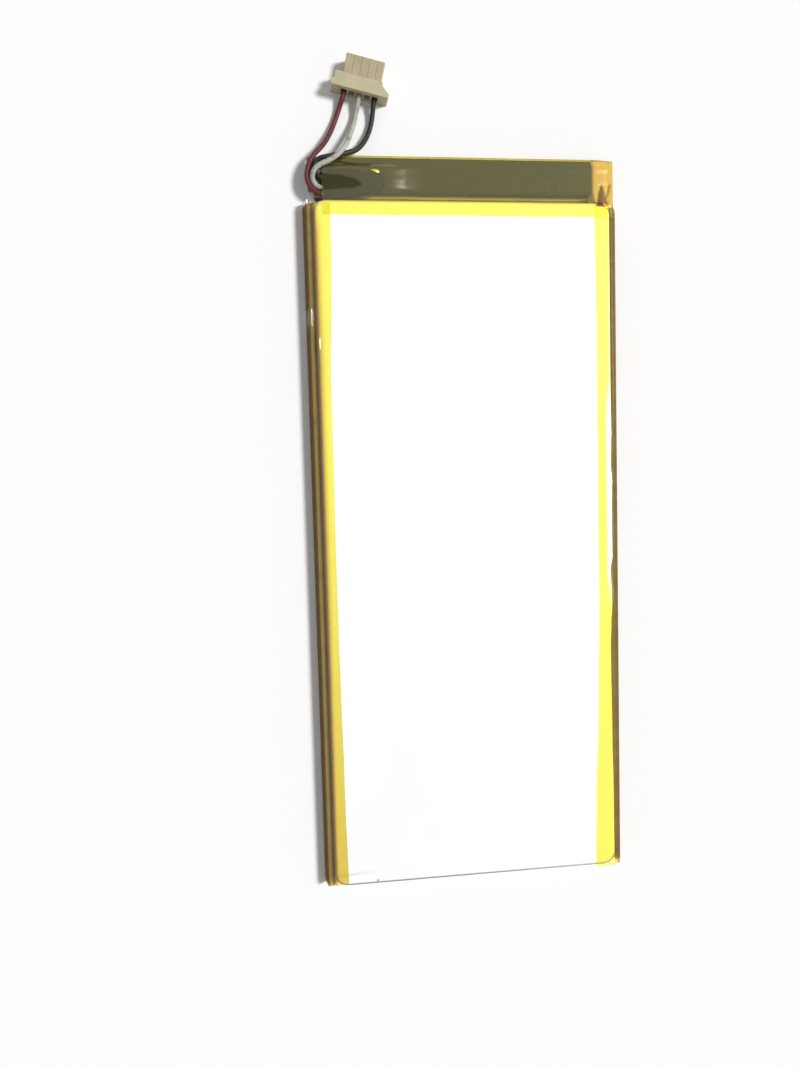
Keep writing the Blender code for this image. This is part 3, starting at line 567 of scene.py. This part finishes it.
# Places across the pack, each with the dab's share of its full width and of its full height there.
GLUE_STATIONS = (
    (-0.02315, 0.3, 0.2), (-0.02300, 0.8, 0.75), (-0.02260, 0.97, 0.97), (-0.0215, 1.0, 1.0),
    (-0.0190, 0.98, 1.0), (-0.0172, 0.92, 0.99), (-0.0158, 0.84, 0.98), (-0.0146, 0.78, 0.95),
    (-0.0137, 0.66, 0.85), (-0.0131, 0.45, 0.55), (-0.0128, 0.2, 0.2),
)
board_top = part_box("protection_board")[1][2]
rings = []
for x, width, height in GLUE_STATIONS:
    middle = GLUE_CENTRE[1] + (x - GLUE_CENTRE[0]) * GLUE_SLANT
    ring = []
    for k in range(GLUE_SIDES):
        turn = 2 * math.pi * k / GLUE_SIDES
        out = math.copysign(abs(math.cos(turn)) ** GLUE_SQUARENESS, math.cos(turn))
        up = max(0.0, math.sin(turn)) ** GLUE_SQUARENESS
        z = board_top + GLUE_LIFT + (GLUE_TOP - board_top) * height * up
        ring.append((x, middle + GLUE_HALF_WIDTH * width * out, z))
    rings.append(ring)
glue = mesh_piece("lead_potting", lofted("lead_potting", rings, closed=True, caps=True), black_glue())
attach(glue, "root")


# The plug: a five-position housing moulded in natural nylon, a slim mating end on a thicker flange with one
# square wing and one sloping, and a crimped, tinned bronze terminal in every second cavity.

# The way the plug points on the table, and how far along that way its flange ends.
PLUG_AXIS = (0.225, 0.974)
PLUG_FLANGE = 0.06667


def natural_nylon():
    """Unpigmented nylon, the thick flange painted paler than the slim mating end as painted light."""
    made, tree = finish("natural nylon")
    cloud = ripple(tree, 0.003, 3.0)
    skin = ripple(tree, 0.00012, 2.0)
    x, y, z = spot(tree)
    along = math_node(tree, "MULTIPLY_ADD", x, PLUG_AXIS[0], -PLUG_FLANGE)
    along = math_node(tree, "MULTIPLY_ADD", y, PLUG_AXIS[1], along)
    # The thick flange is painted paler than the slim end, as painted light.
    slim = ramp(tree, cloud, (0.3, (0.40, 0.34, 0.21)), (0.7, (0.47, 0.405, 0.26)))
    thick = ramp(tree, cloud, (0.3, (0.48, 0.43, 0.27)), (0.7, (0.56, 0.50, 0.32)))
    values = {
        "Base Color": blend(tree, step(tree, along, -0.0003, -0.0006), slim, thick),
        "Roughness": ramp(tree, cloud, (0.3, 0.38), (0.7, 0.5)),
        "Subsurface Weight": 0.15,
        "Subsurface Radius": (0.0012, 0.0009, 0.0006),
        "Subsurface Scale": 1.0,
        "Normal": relief(tree, skin, 0.000006),
    }
    return surfaced(made, "BsdfPrincipled", values)


dress("connector_housing", natural_nylon())
tinned_bronze = plain_finish("tinned bronze", (0.76, 0.74, 0.69), (0.62, 0.60, 0.56), 0.3, 1.0, 0.0003)
for colour in ("red", "white", "black"):
    dress(f"{colour}_terminal", tinned_bronze)


# The edge tapes: a strip of clear amber polyimide film over each folded side seal, stuck down on the face,
# drawn into the groove between cup and seal, and turned round to the back.

FILM = 0.00006
CLEAR_TINT = (0.997, 0.986, 0.585)
# The tint where the film is folded, and where it is browned as painted shade.
FOLD_AND_SHADE_TINT = (0.78, 0.56, 0.22)
CLOUDY_GLUE = (0.44, 0.35, 0.29)

# The colour of doubled film over cloudy glue, from unfolded to wholly browned; the browner colours also serve
# as painted shade.
DOUBLED_AND_SHADED_TINTS = (
    (0.0, (0.95, 0.88, 0.13)),
    (0.3, (0.97, 0.62, 0.12)),
    (0.93, (0.33, 0.255, 0.055)),
    (1.0, (0.26, 0.175, 0.05)),
)


def mark(tree, label):
    """The piece's attribute of that name, 0 on a piece without it."""
    return node(tree, "Attribute", attribute_name=label).outputs["Fac"]


def amber_film():
    """Clear amber film: it tints what is behind it, glosses, and hazes it a little with its glue.

    The piece's attributes say where it is folded or puckered and browner, and where it is browned as painted
    shade (crease), where glue has run against it and takes its gloss (dull), where it lies doubled over
    cloudy glue and hides what is behind (cloudy), and where it stands off what is under it, finely rippled,
    and catches more of the lamp (slack).
    """
    made, tree = finish("amber film")
    wave = ripple(tree, 0.004, 3.0)
    fine = ripple(tree, 0.0007, 3.0)
    normal = relief(tree, fine, 0.000006, relief(tree, wave, 0.00004))
    crease, cloudy, dull, slack = (mark(tree, label) for label in ("crease", "cloudy", "dull", "slack"))
    dry = math_node(tree, "SUBTRACT", 1.0, dull)

    tint = blend(tree, crease, CLEAR_TINT, FOLD_AND_SHADE_TINT)
    clear = node(tree, "BsdfTransparent", {"Color": tint}).outputs[0]
    milk = blend(tree, cloudy, CLOUDY_GLUE, ramp(tree, crease, *DOUBLED_AND_SHADED_TINTS))
    haze = node(tree, "BsdfDiffuse", {"Color": milk, "Normal": normal}).outputs[0]
    hidden = math_node(tree, "MULTIPLY_ADD", dry, 0.02, math_node(tree, "MULTIPLY", cloudy, 0.8))
    body = node(tree, "MixShader", {0: hidden, 1: clear, 2: haze}).outputs[0]

    scatter = math_node(tree, "MULTIPLY_ADD", slack, 0.14, 0.16)
    mirror = {"Color": (1.0, 1.0, 1.0), "Roughness": scatter, "Normal": normal}
    gloss = node(tree, "BsdfGlossy", mirror).outputs[0]
    slant = node(tree, "LayerWeight", {"Blend": 0.5, "Normal": normal}).outputs["Facing"]
    edge_on = math_node(tree, "POWER", slant, 5.0)
    head_on = math_node(tree, "MULTIPLY_ADD", slack, 0.22, 0.04)
    sheen = math_node(tree, "MULTIPLY_ADD", edge_on, 0.95, head_on)
    return surfaced(made, "MixShader", {0: math_node(tree, "MULTIPLY", sheen, dry), 1: body, 2: gloss})


film_finish = amber_film()


def between(table, place):
    """The value at that place in a table of places and values, with a soft run from one to the next."""
    for (a, low), (b, high) in zip(table, table[1:]):
        if place <= b:
            share = min(1.0, max(0.0, (place - a) / (b - a)))
            return low + (high - low) * share * share * (3 - 2 * share)
    return table[-1][1]


def straight(table, place):
    """The value at that place in a table of places and values, straight from one to the next."""
    for (a, low), (b, high) in zip(table, table[1:]):
        if place <= b:
            return low + (high - low) * (place - a) / (b - a)
    return table[-1][1]


def crumple(place, size, seed):
    """Soft noise from -1 to 1 with features about that size."""
    return noise.noise(Vector((place / size, seed, 0.37)))


def near_line(x, y, start, stop, width):
    """1 on the line from start to stop, falling off softly to 0 at that width beside it."""
    along = Vector(stop) - Vector(start)
    here = Vector((x, y)) - Vector(start)
    share = min(1.0, max(0.0, here.dot(along) / along.length_squared))
    off = (here - along * share).length / width
    return max(0.0, 1.0 - off * off) ** 2


def film_piece(name, sections, node_name, **looks):
    """A film through those sections in place of a node, with its thickness; looks fill its attributes."""
    sheet = lofted(name, sections)
    for label, look in looks.items():
        values = sheet.attributes.new(label, "FLOAT", "POINT").data
        for vertex, value in zip(sheet.vertices, values):
            value.value = look(*vertex.co)
    rough = mesh_piece(name, sheet, film_finish)
    wall = rough.modifiers.new("film", "SOLIDIFY")
    wall.thickness = FILM
    wall.offset = 0.0
    bpy.context.view_layer.update()
    ready = rough.evaluated_get(bpy.context.evaluated_depsgraph_get())
    mesh = bpy.data.meshes.new_from_object(ready)
    bpy.data.objects.remove(rough, do_unlink=True)
    shape = bmesh.new()
    shape.from_mesh(mesh)
    bmesh.ops.recalc_face_normals(shape, faces=shape.faces)
    shape.to_mesh(mesh)
    shape.free()
    mesh.set_sharp_from_angle(angle=math.radians(60))
    piece = bpy.data.objects.new(name, mesh)
    bpy.context.scene.collection.objects.link(piece)
    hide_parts(node_name)
    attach(piece, "root")
    return piece


# The heights of the film's middle line over the face, on the seal's lip and on the back, and the furthest
# that it reaches from the middle.
OVER_FACE = FACE + 0.00007
LIP = FACE - 0.0006
ON_BACK = 0.00003
OUTERMOST = 0.02597
EDGE_STATIONS = 220
NOWHERE = ((-0.060, 0.0), (0.053, 0.0))

# Each edge tape: the side it is on, its two ends along, and at places along how far from the middle its inner
# edge and the line where it turns down lie, how much it stands off and shines, and how much it is blistered.
# It is laid in two lengths, and the second starts at restart. The seed is for its small unevenness.
EDGE_TAPES = {
    "left": {
        "side": -1,
        "ends": (-0.0594, 0.0522),
        "inner": (
            (-0.060, 0.0221), (-0.045, 0.0223), (-0.011, 0.0225), (0.021, 0.0224), (0.046, 0.0217),
            (0.053, 0.0217),
        ),
        "fold": ((-0.060, 0.0243), (0.053, 0.0243)),
        "shining": ((0.0325, 0.0), (0.0338, 1.0), (0.0350, 1.0), (0.0362, 0.0)),
        "blistered": ((0.0280, 0.0), (0.0292, 1.0), (0.0312, 1.0), (0.0324, 0.0)),
        "restart": 0.0176,
        "seed": 3.1,
    },
    "right": {
        "side": 1,
        "ends": (-0.0599, 0.0522),
        "inner": (
            (-0.060, 0.0209), (-0.048, 0.0211), (-0.031, 0.0217), (-0.013, 0.0219), (0.037, 0.0219),
            (0.053, 0.0217),
        ),
        "fold": (
            (-0.060, 0.02436), (-0.050, 0.0243), (-0.037, 0.0241), (-0.0215, 0.02394), (-0.0169, 0.0241),
            (-0.0136, 0.0244), (-0.0081, 0.02392), (-0.0055, 0.02436), (-0.0020, 0.02456), (0.0014, 0.02456),
            (0.0063, 0.02436), (0.0096, 0.02406), (0.0138, 0.02412), (0.0163, 0.02445), (0.0250, 0.0245),
            (0.053, 0.0246),
        ),
        "shining": ((-0.0155, 0.0), (-0.0125, 0.6), (-0.0090, 1.0), (0.0140, 1.0), (0.0260, 0.0)),
        "blistered": NOWHERE,
        "restart": -0.0083,
        "seed": 8.7,
    },
}


def edge_profile(tape, y):
    """An edge tape's middle line at that place along, from the face to the back, across the groove's lip."""
    seed = tape["seed"] + (2.3 if y > tape["restart"] else 0.0)
    near = min(1.0, abs(y - tape["restart"]) / 0.003)
    shining = between(tape["shining"], y)
    stands = shining if tape["side"] > 0 else 0.0
    fold = between(tape["fold"], y)
    blister = 0.00014 * between(tape["blistered"], y)
    droop = 0.00005 + 0.00003 * crumple(y, 0.012, seed) + 0.0002 * (shining - stands)
    droop *= 0.35 + 0.65 * near
    crest = 0.00002 + 0.00002 * abs(crumple(y, 0.008, seed + 2))
    belly = 0.00003 + 0.00003 * crumple(y, 0.009, seed + 3)
    edge = between(tape["inner"], y) + 0.00004 * crumple(y, 0.005, seed + 4)
    low_lip = LIP + crest
    drawn_in = (
        (0.0228, OVER_FACE),
        (0.0234, OVER_FACE + 0.000095 * stands),
        (0.02365, OVER_FACE + 0.00006 * stands),
        (0.0239, OVER_FACE + 0.000025 * stands + 0.3 * blister),
        (0.02412, FACE + 0.00004 + 0.000025 * stands + blister),
        (0.02433, FACE - 0.00010 + 0.000135 * stands + blister),
        (0.02452, FACE - 0.00038 - droop * 0.5),
        (0.02478, FACE - 0.00052 - droop),
        (0.02500, FACE - 0.00056 - droop * 0.7),
        (0.02513, LIP + crest * 0.4),
        (0.02524, low_lip),
    )
    places = {x for x, z in drawn_in} | {0.0231, 0.0238, 0.0240, fold - 0.00003, fold + 0.00003}
    return [
        (edge, OVER_FACE),
        *((x, straight(drawn_in, x)) for x in sorted(places)),
        (0.02538, low_lip - 0.00001),
        (0.02547, FACE - 0.0007),
        (0.02553, FACE - 0.00095),
        (0.02560 + belly, 0.0017),
        (0.02571 + belly, 0.0012),
        (0.02583 + belly * 0.3, 0.0007),
        (OUTERMOST, 0.00035),
        (OUTERMOST, 0.00015),
        (0.02594, 0.00006),
        (0.02585, ON_BACK),
        (0.0240, ON_BACK),
        (0.0210, ON_BACK),
    ]


# How brown and how cloudy the left tape is at places across, the brown painted shade towards the groove and
# down the side, and how brown at least at places along.
LEFT_BROWN = (
    (0.0228, 0.0), (0.0231, 0.03), (0.0234, 0.10), (0.02365, 0.24), (0.0239, 0.36), (0.02412, 0.55),
    (0.02433, 0.80), (0.02452, 0.97), (0.02478, 0.97), (0.0250, 0.89), (0.02538, 0.88), (0.02547, 0.95),
    (0.0260, 0.97),
)
LEFT_CLOUD = (
    (0.0238, 0.0), (0.0240, 0.10), (0.02412, 0.25), (0.02433, 0.50), (0.02452, 0.75), (0.02478, 0.75),
    (0.0250, 0.88), (0.02538, 0.85), (0.02553, 0.5), (0.0260, 0.5),
)
LEFT_LEAST_BROWN = ((-0.055, 0.26), (-0.035, 0.18), (-0.012, 0.06), (0.020, 0.0))

for name, tape in EDGE_TAPES.items():
    low, high = tape["ends"]
    sections = []
    for row in range(EDGE_STATIONS + 1):
        y = low + (high - low) * row / EDGE_STATIONS
        hang = 0.0003 * max(0.0, 1 - (y - low) / 0.0030) ** 2 if name == "left" else 0.0
        section = []
        for x, z in edge_profile(tape, y):
            past_end = hang * between(((0.0243, 0.0), (0.0249, 1.0)), x)
            section.append((tape["side"] * min(x, OUTERMOST), y - past_end, z))
        sections.append(section)

    def fold_and_shade_browning(x, y, z, tape=tape):
        """Browner as painted shade down the side and towards the groove, and browner across the seam between
        the two lengths of tape.
        """
        x = abs(x)
        seam = 0.5 * max(0.0, 1.0 - abs(y - tape["restart"]) / 0.0003) * (x > 0.0243)
        if tape["side"] < 0:
            by_the_wrap = 1.0 if x > 0.0242 else between(((0.047, 1.0), (0.051, 0.4)), y)
            brown = straight(LEFT_BROWN, max(x, 0.0228)) * by_the_wrap
            brown = max(brown, between(LEFT_LEAST_BROWN, y)) * between(((-0.0597, 0.5), (-0.0588, 1.0)), y)
        else:
            rim = between(((-0.0150, 0.0), (-0.0125, 1.0), (-0.0085, 1.0), (-0.0070, 0.0)), y)
            rim += between(((0.0040, 0.0), (0.0080, 1.0), (0.0140, 1.0), (0.0160, 0.0)), y)
            inside = between(tape["fold"], y)
            brown = (x > inside) * (0.96 - 0.22 * rim * (x < inside + 0.0003))
            brown *= between(((-0.0594, 0.0), (-0.0589, 1.0)), y) * between(((0.0512, 1.0), (0.0516, 0.0)), y)
        streak = 0.10 * abs(crumple(y, 0.0021, tape["seed"] + 5)) * (x > 0.0241)
        return min(1.0, seam + brown + streak)

    def clouded(x, y, z, tape=tape):
        """Cloudy where the film lies doubled over the folded seal."""
        x = abs(x)
        ended = between(((-0.0594, 0.25), (-0.0588, 1.0)), y)
        if tape["side"] < 0:
            return straight(LEFT_CLOUD, max(x, 0.0238)) * (z > 0.0003) * max(ended, 0.6)
        corner = 0.75 * near_line(x, y, (0.0242, -0.0586), (0.0247, -0.0575), 0.0006)
        ended *= between(((0.0512, 1.0), (0.0516, 0.1)), y)
        return 0.9 * (x > between(tape["fold"], y)) * (z > 0.0003) * ended * (1.0 - corner)

    def stuck(x, y, z, tape=tape):
        """Without gloss where the film is stuck down in the fold, but for the stretches that stand off it."""
        inside = between(tape["fold"], y)
        free = between(tape["shining"], y)
        over = abs(x) > (inside + 0.00002 if tape["side"] > 0 else 0.02440)
        if tape["side"] > 0:
            return 0.92 * over + 0.7 * (1 - free) * (abs(x) > 0.0232) * (not over)
        return 0.92 * over * (1 - free)

    def standing(x, y, z, tape=tape):
        """Slack and rippled where the right tape stands off the cup's rim."""
        fold = between(tape["fold"], y)
        on_rim = between(((0.0231, 0.0), (0.0234, 1.0), (fold, 1.0), (fold + 0.00006, 0.0)), abs(x))
        return on_rim * between(tape["shining"], y) * (tape["side"] > 0)

    film_piece(
        f"{name}_edge_film",
        sections,
        f"{name}_edge_tape",
        crease=fold_and_shade_browning,
        cloudy=clouded,
        dull=stuck,
        slack=standing,
    )


# The board's wrap: one wide piece of the same film from the drawn face down over the board and the leads,
# round the end of the pack and under the terrace. It stands a little proud in long creases.

# The heights of the film's middle line on the board, over the leads and at the lowest of its loose end.
ON_BOARD = board_top + 0.00007
OVER_LEADS = 0.00297
LOOSE_END_LOW = 0.00049

# The cup's side, end and corner under the film, where the film starts and ends, and what it passes.
CUP_SIDE = 0.02445
CUP_END = 0.05245
CUP_CORNER_RADIUS = 0.002
WRAP_FROM = -0.0229
WRAP_TO = 0.0254
WRAP_START = 0.05035
WRAP_SLOPE = 0.0021
WRAP_STATIONS = 200
WRAP_POINTS = 110
ABOVE_TERRACE = 0.0012
BOARD_END = 0.0216
SLOPE_FOOT = 0.0528

# The creases at the cup's far right corner: each one's start and stop, its width and its depth.
CORNER_FOLDS = (
    ((0.0244, 0.0529), (0.0234, 0.0556), 0.00034, 0.00020),
    ((0.0234, 0.0556), (0.0225, 0.0530), 0.00034, 0.00014),
    ((0.0248, 0.0559), (0.0244, 0.0541), 0.00024, 0.00012),
)


def pinch(x, y, z):
    """How far the film is drawn in by the creases at the cup's far right corner, and by its ripples."""
    if x < BOARD_END or z < 0.0005:
        return 0.0
    folds = sum(deep * near_line(x, y, start, stop, width) for start, stop, width, deep in CORNER_FOLDS)
    loose = min(1.0, (x - BOARD_END) / 0.002)
    ripples = 1 + crumple(x + y * 0.7, 0.0017, 9.9) + crumple(y - x * 0.4, 0.0011, 2.2)
    return folds + loose * 0.00004 * ripples


def evened(points):
    """The profile again with its points evenly apart, so that folds can cross it."""
    line = [Vector(p) for p in points]
    along = [0.0]
    for a, b in zip(line, line[1:]):
        along.append(along[-1] + (b - a).length)
    made = []
    j = 0
    for k in range(WRAP_POINTS + 1):
        target = along[-1] * k / WRAP_POINTS
        while j < len(line) - 2 and along[j + 1] < target:
            j += 1
        made.append(line[j].lerp(line[j + 1], (target - along[j]) / (along[j + 1] - along[j])))
    return made


def wrap_profile(x):
    """The wrap's middle line at that place across, from the face to the back."""
    lap = between(((0.0208, 0.0), (0.0220, 0.0001)), abs(x))
    dip = max(0.0, x - 0.02415) * 0.7
    on_face = OVER_FACE + lap + 0.00007 * (lap > 0) - dip
    into_corner = max(0.0, abs(x) - (CUP_SIDE - CUP_CORNER_RADIUS))
    into_corner = min(into_corner, CUP_CORNER_RADIUS * 0.95)
    face_end = CUP_END - CUP_CORNER_RADIUS + math.sqrt(max(0.0, CUP_CORNER_RADIUS**2 - into_corner**2))
    bump = between(((-0.0133, 1.0), (-0.0065, 0.0)), x)
    drop = between(((0.02178, 0.0), (0.0254, 0.22)), x)
    flat = ON_BOARD + (LOOSE_END_LOW - ON_BOARD) * drop
    raised = flat + (OVER_LEADS - flat) * bump
    crease = 0.00006 * crumple(x, 0.006, 4.2) + 0.00003 * crumple(x, 0.0018, 6.6)
    start = WRAP_START + 0.00003 * crumple(x, 0.004, 1.7)
    slope = face_end + WRAP_SLOPE
    points = [
        (start, on_face),
        (0.5 * start + 0.5 * face_end, on_face),
        (face_end - 0.00025, on_face),
        (face_end, on_face - 0.00003),
    ]
    for share, sag in ((0.15, 0.06), (0.35, 0.09), (0.6, 0.06), (0.85, 0.01)):
        points.append((face_end + (slope - face_end) * share, on_face + (raised - on_face) * (share + sag)))
    points += [
        (slope, raised + abs(crease) * 0.3),
        (0.0552, raised + 0.00001 + abs(crease) * 0.6),
        (0.0560, raised + 0.00001 + abs(crease)),
        (0.0568, raised + 0.00001 + abs(crease) * 0.5),
        (0.0574, raised + abs(crease) * 0.8),
        (0.0579, raised + 0.00001),
        (0.0583, 0.5 * raised + 0.5 * flat + 0.00004),
        (0.0588, flat + 0.00001),
        (0.0593, flat + 0.00002 + abs(crease) * 0.7),
        (0.0596, flat),
        (0.05978, flat - 0.00003),
        (0.05990, flat - 0.00012),
        (0.05996, flat - 0.0003 * (1 - drop) - 0.00012),
        (0.05997, ON_BACK + (flat - ON_BACK) * 0.5),
        (0.05997, 0.0002),
        (0.05994, 0.00007),
        (0.05985, ON_BACK),
        (0.0565, ON_BACK),
        (0.0534, ON_BACK),
    ]
    drawn = []
    for y, z in evened(points):
        depth = pinch(x, y, z)
        drawn.append((x, y - depth, z) if z < 0.0018 else (x, y, z - depth))
    return drawn


def in_shaded_triangle(x, y):
    """Where the film is painted dark as shade between its folds at the corner."""
    return CORNER_FOOT < y and abs(x - CORNER_AXIS) < (CORNER_TIP - y) * CORNER_SPREAD


def loose_end(x, y, z):
    """Cloudy past the board's end, where the film lies on nothing."""
    return 0.85 * min(1.0, max(0.0, (x - 0.0217) / 0.0003)) * (y > 0.0527) * (z > ABOVE_TERRACE)


def wrap_creases_and_shade(x, y, z):
    """Browner along the corner's folds, partly folded film and partly painted shade, painted shade at the
    board's end and along the slope's foot, and browner at the far rim.
    """
    upper = z > ABOVE_TERRACE
    folds = max(near_line(x, y, start, stop, width) for start, stop, width, deep in CORNER_FOLDS)
    folds = max(folds, float(in_shaded_triangle(x, y))) * upper
    # Painted shade at the step of the board's end and along the foot of the slope.
    board_end = 0.25 * max(0.0, 1.0 - abs(x - 0.0219) / 0.0003) * (y > 0.0532) * upper
    amber = (0.24 + 0.10 * crumple(x + 0.5 * y, 0.0012, 7.7)) * (x > 0.0218) * (y > SLOPE_FOOT) * (z > 0.0004)
    foot = 0.35 * max(0.0, 1.0 - abs(y - SLOPE_FOOT) / 0.00035) * upper * (x < 0.0236)
    far_rim = 0.3 * (y > 0.05965)
    return min(1.0, folds + board_end + foot + far_rim + amber)


def glued_patch(x, y, z):
    """Without gloss on the loose end, and in a pointed patch where the black glue has run up to the film."""
    if x > BOARD_END:
        return 0.93 * min(1.0, (x - BOARD_END) / 0.0003) * (y > 0.0525)
    if z < ABOVE_TERRACE or x > -0.0160:
        return 0.0
    share = (x + 0.0230) / 0.0065
    ragged = 0.00035 * crumple(x + y, 0.0012, 5.5)
    middle = 0.0556 - 0.0004 * share
    half = 0.00145 * math.sqrt(max(0.0, 1.0 - share * share)) + ragged
    return 0.65 * min(1.0, max(0.0, (half - abs(y - middle)) / 0.0002))


span = WRAP_TO - WRAP_FROM
film_piece(
    "board_wrap_film",
    [wrap_profile(WRAP_FROM + span * i / WRAP_STATIONS) for i in range(WRAP_STATIONS + 1)],
    "board_wrap_tape",
    crease=wrap_creases_and_shade,
    cloudy=loose_end,
    dull=glued_patch,
)


# The set: a white table top, soft light from above, a broad lamp to the right, and the camera above the
# pack's left side.

TABLE_REACH = 3
TABLE_Z = -0.00002
AMBIENT = 0.33
LAMP_FROM = (0.62, 0.16, 0.80)
LAMP_ENERGY = 2.7
LAMP_DEGREES = 13

# The camera, fitted to the pack's edges: its place, its turn, and its focal length in the frame's pixels.
CAMERA_AT = (-0.02814, 0.00890, 0.13810)
CAMERA_DEGREES = (-3.857, -6.956, -1.554)
SENSOR_HEIGHT = 24.0
FRAME_PIXELS = 1067
FOCAL_PIXELS = 830


def seen_directly(tree):
    """1 for what the camera sees, also in a gloss or through clear film, and 0 for what only lights."""
    path = node(tree, "LightPath").outputs
    seen = math_node(tree, "MAXIMUM", path["Is Camera Ray"], path["Is Glossy Ray"])
    return math_node(tree, "MAXIMUM", seen, path["Is Transmission Ray"])


def table_top():
    """A white table, which looks whiter than it lights."""
    made, tree = finish("white table top")
    colour = blend(tree, seen_directly(tree), (0.80, 0.80, 0.79), (0.985, 0.985, 0.98))
    return surfaced(made, "BsdfDiffuse", {"Color": colour, "Roughness": 0.0})


corners = [(x * TABLE_REACH, y * TABLE_REACH, TABLE_Z) for x, y in ((-1, -1), (1, -1), (1, 1), (-1, 1))]
top = bpy.data.meshes.new("table_top")
top.from_pydata(corners, [], [(0, 1, 2, 3)])
table = mesh_piece("table_top", top, table_top())

sky = bpy.data.worlds.new("soft room")
bpy.context.scene.world = sky
sky.use_nodes = True
tree = sky.node_tree
tree.nodes.clear()
lighting = node(tree, "Background", {"Color": (1.0, 1.0, 1.0), "Strength": AMBIENT}).outputs[0]
backdrop = node(tree, "Background", {"Color": (1.0, 1.0, 1.0), "Strength": 1.0}).outputs[0]
both = node(tree, "MixShader", {0: seen_directly(tree), 1: lighting, 2: backdrop}).outputs[0]
world_output = tree.nodes.new("ShaderNodeOutputWorld")
tree.links.new(both, world_output.inputs["Surface"])

lamp = bpy.data.lights.new("broad lamp", "SUN")
lamp.energy = LAMP_ENERGY
lamp.angle = math.radians(LAMP_DEGREES)
lamp_object = bpy.data.objects.new("broad lamp", lamp)
bpy.context.scene.collection.objects.link(lamp_object)
lamp_object.rotation_euler = Vector(LAMP_FROM).to_track_quat("Z", "Y").to_euler()

view = bpy.data.cameras.new("camera")
view.sensor_fit = "VERTICAL"
view.sensor_height = SENSOR_HEIGHT
view.lens = SENSOR_HEIGHT * FOCAL_PIXELS / FRAME_PIXELS
view.clip_start = 0.005
camera = bpy.data.objects.new("camera", view)
bpy.context.scene.collection.objects.link(camera)
camera.location = CAMERA_AT
camera.rotation_euler = [math.radians(angle) for angle in CAMERA_DEGREES]
bpy.context.scene.camera = camera
bpy.context.scene.view_settings.view_transform = "Standard"

bpy.context.view_layer.update()
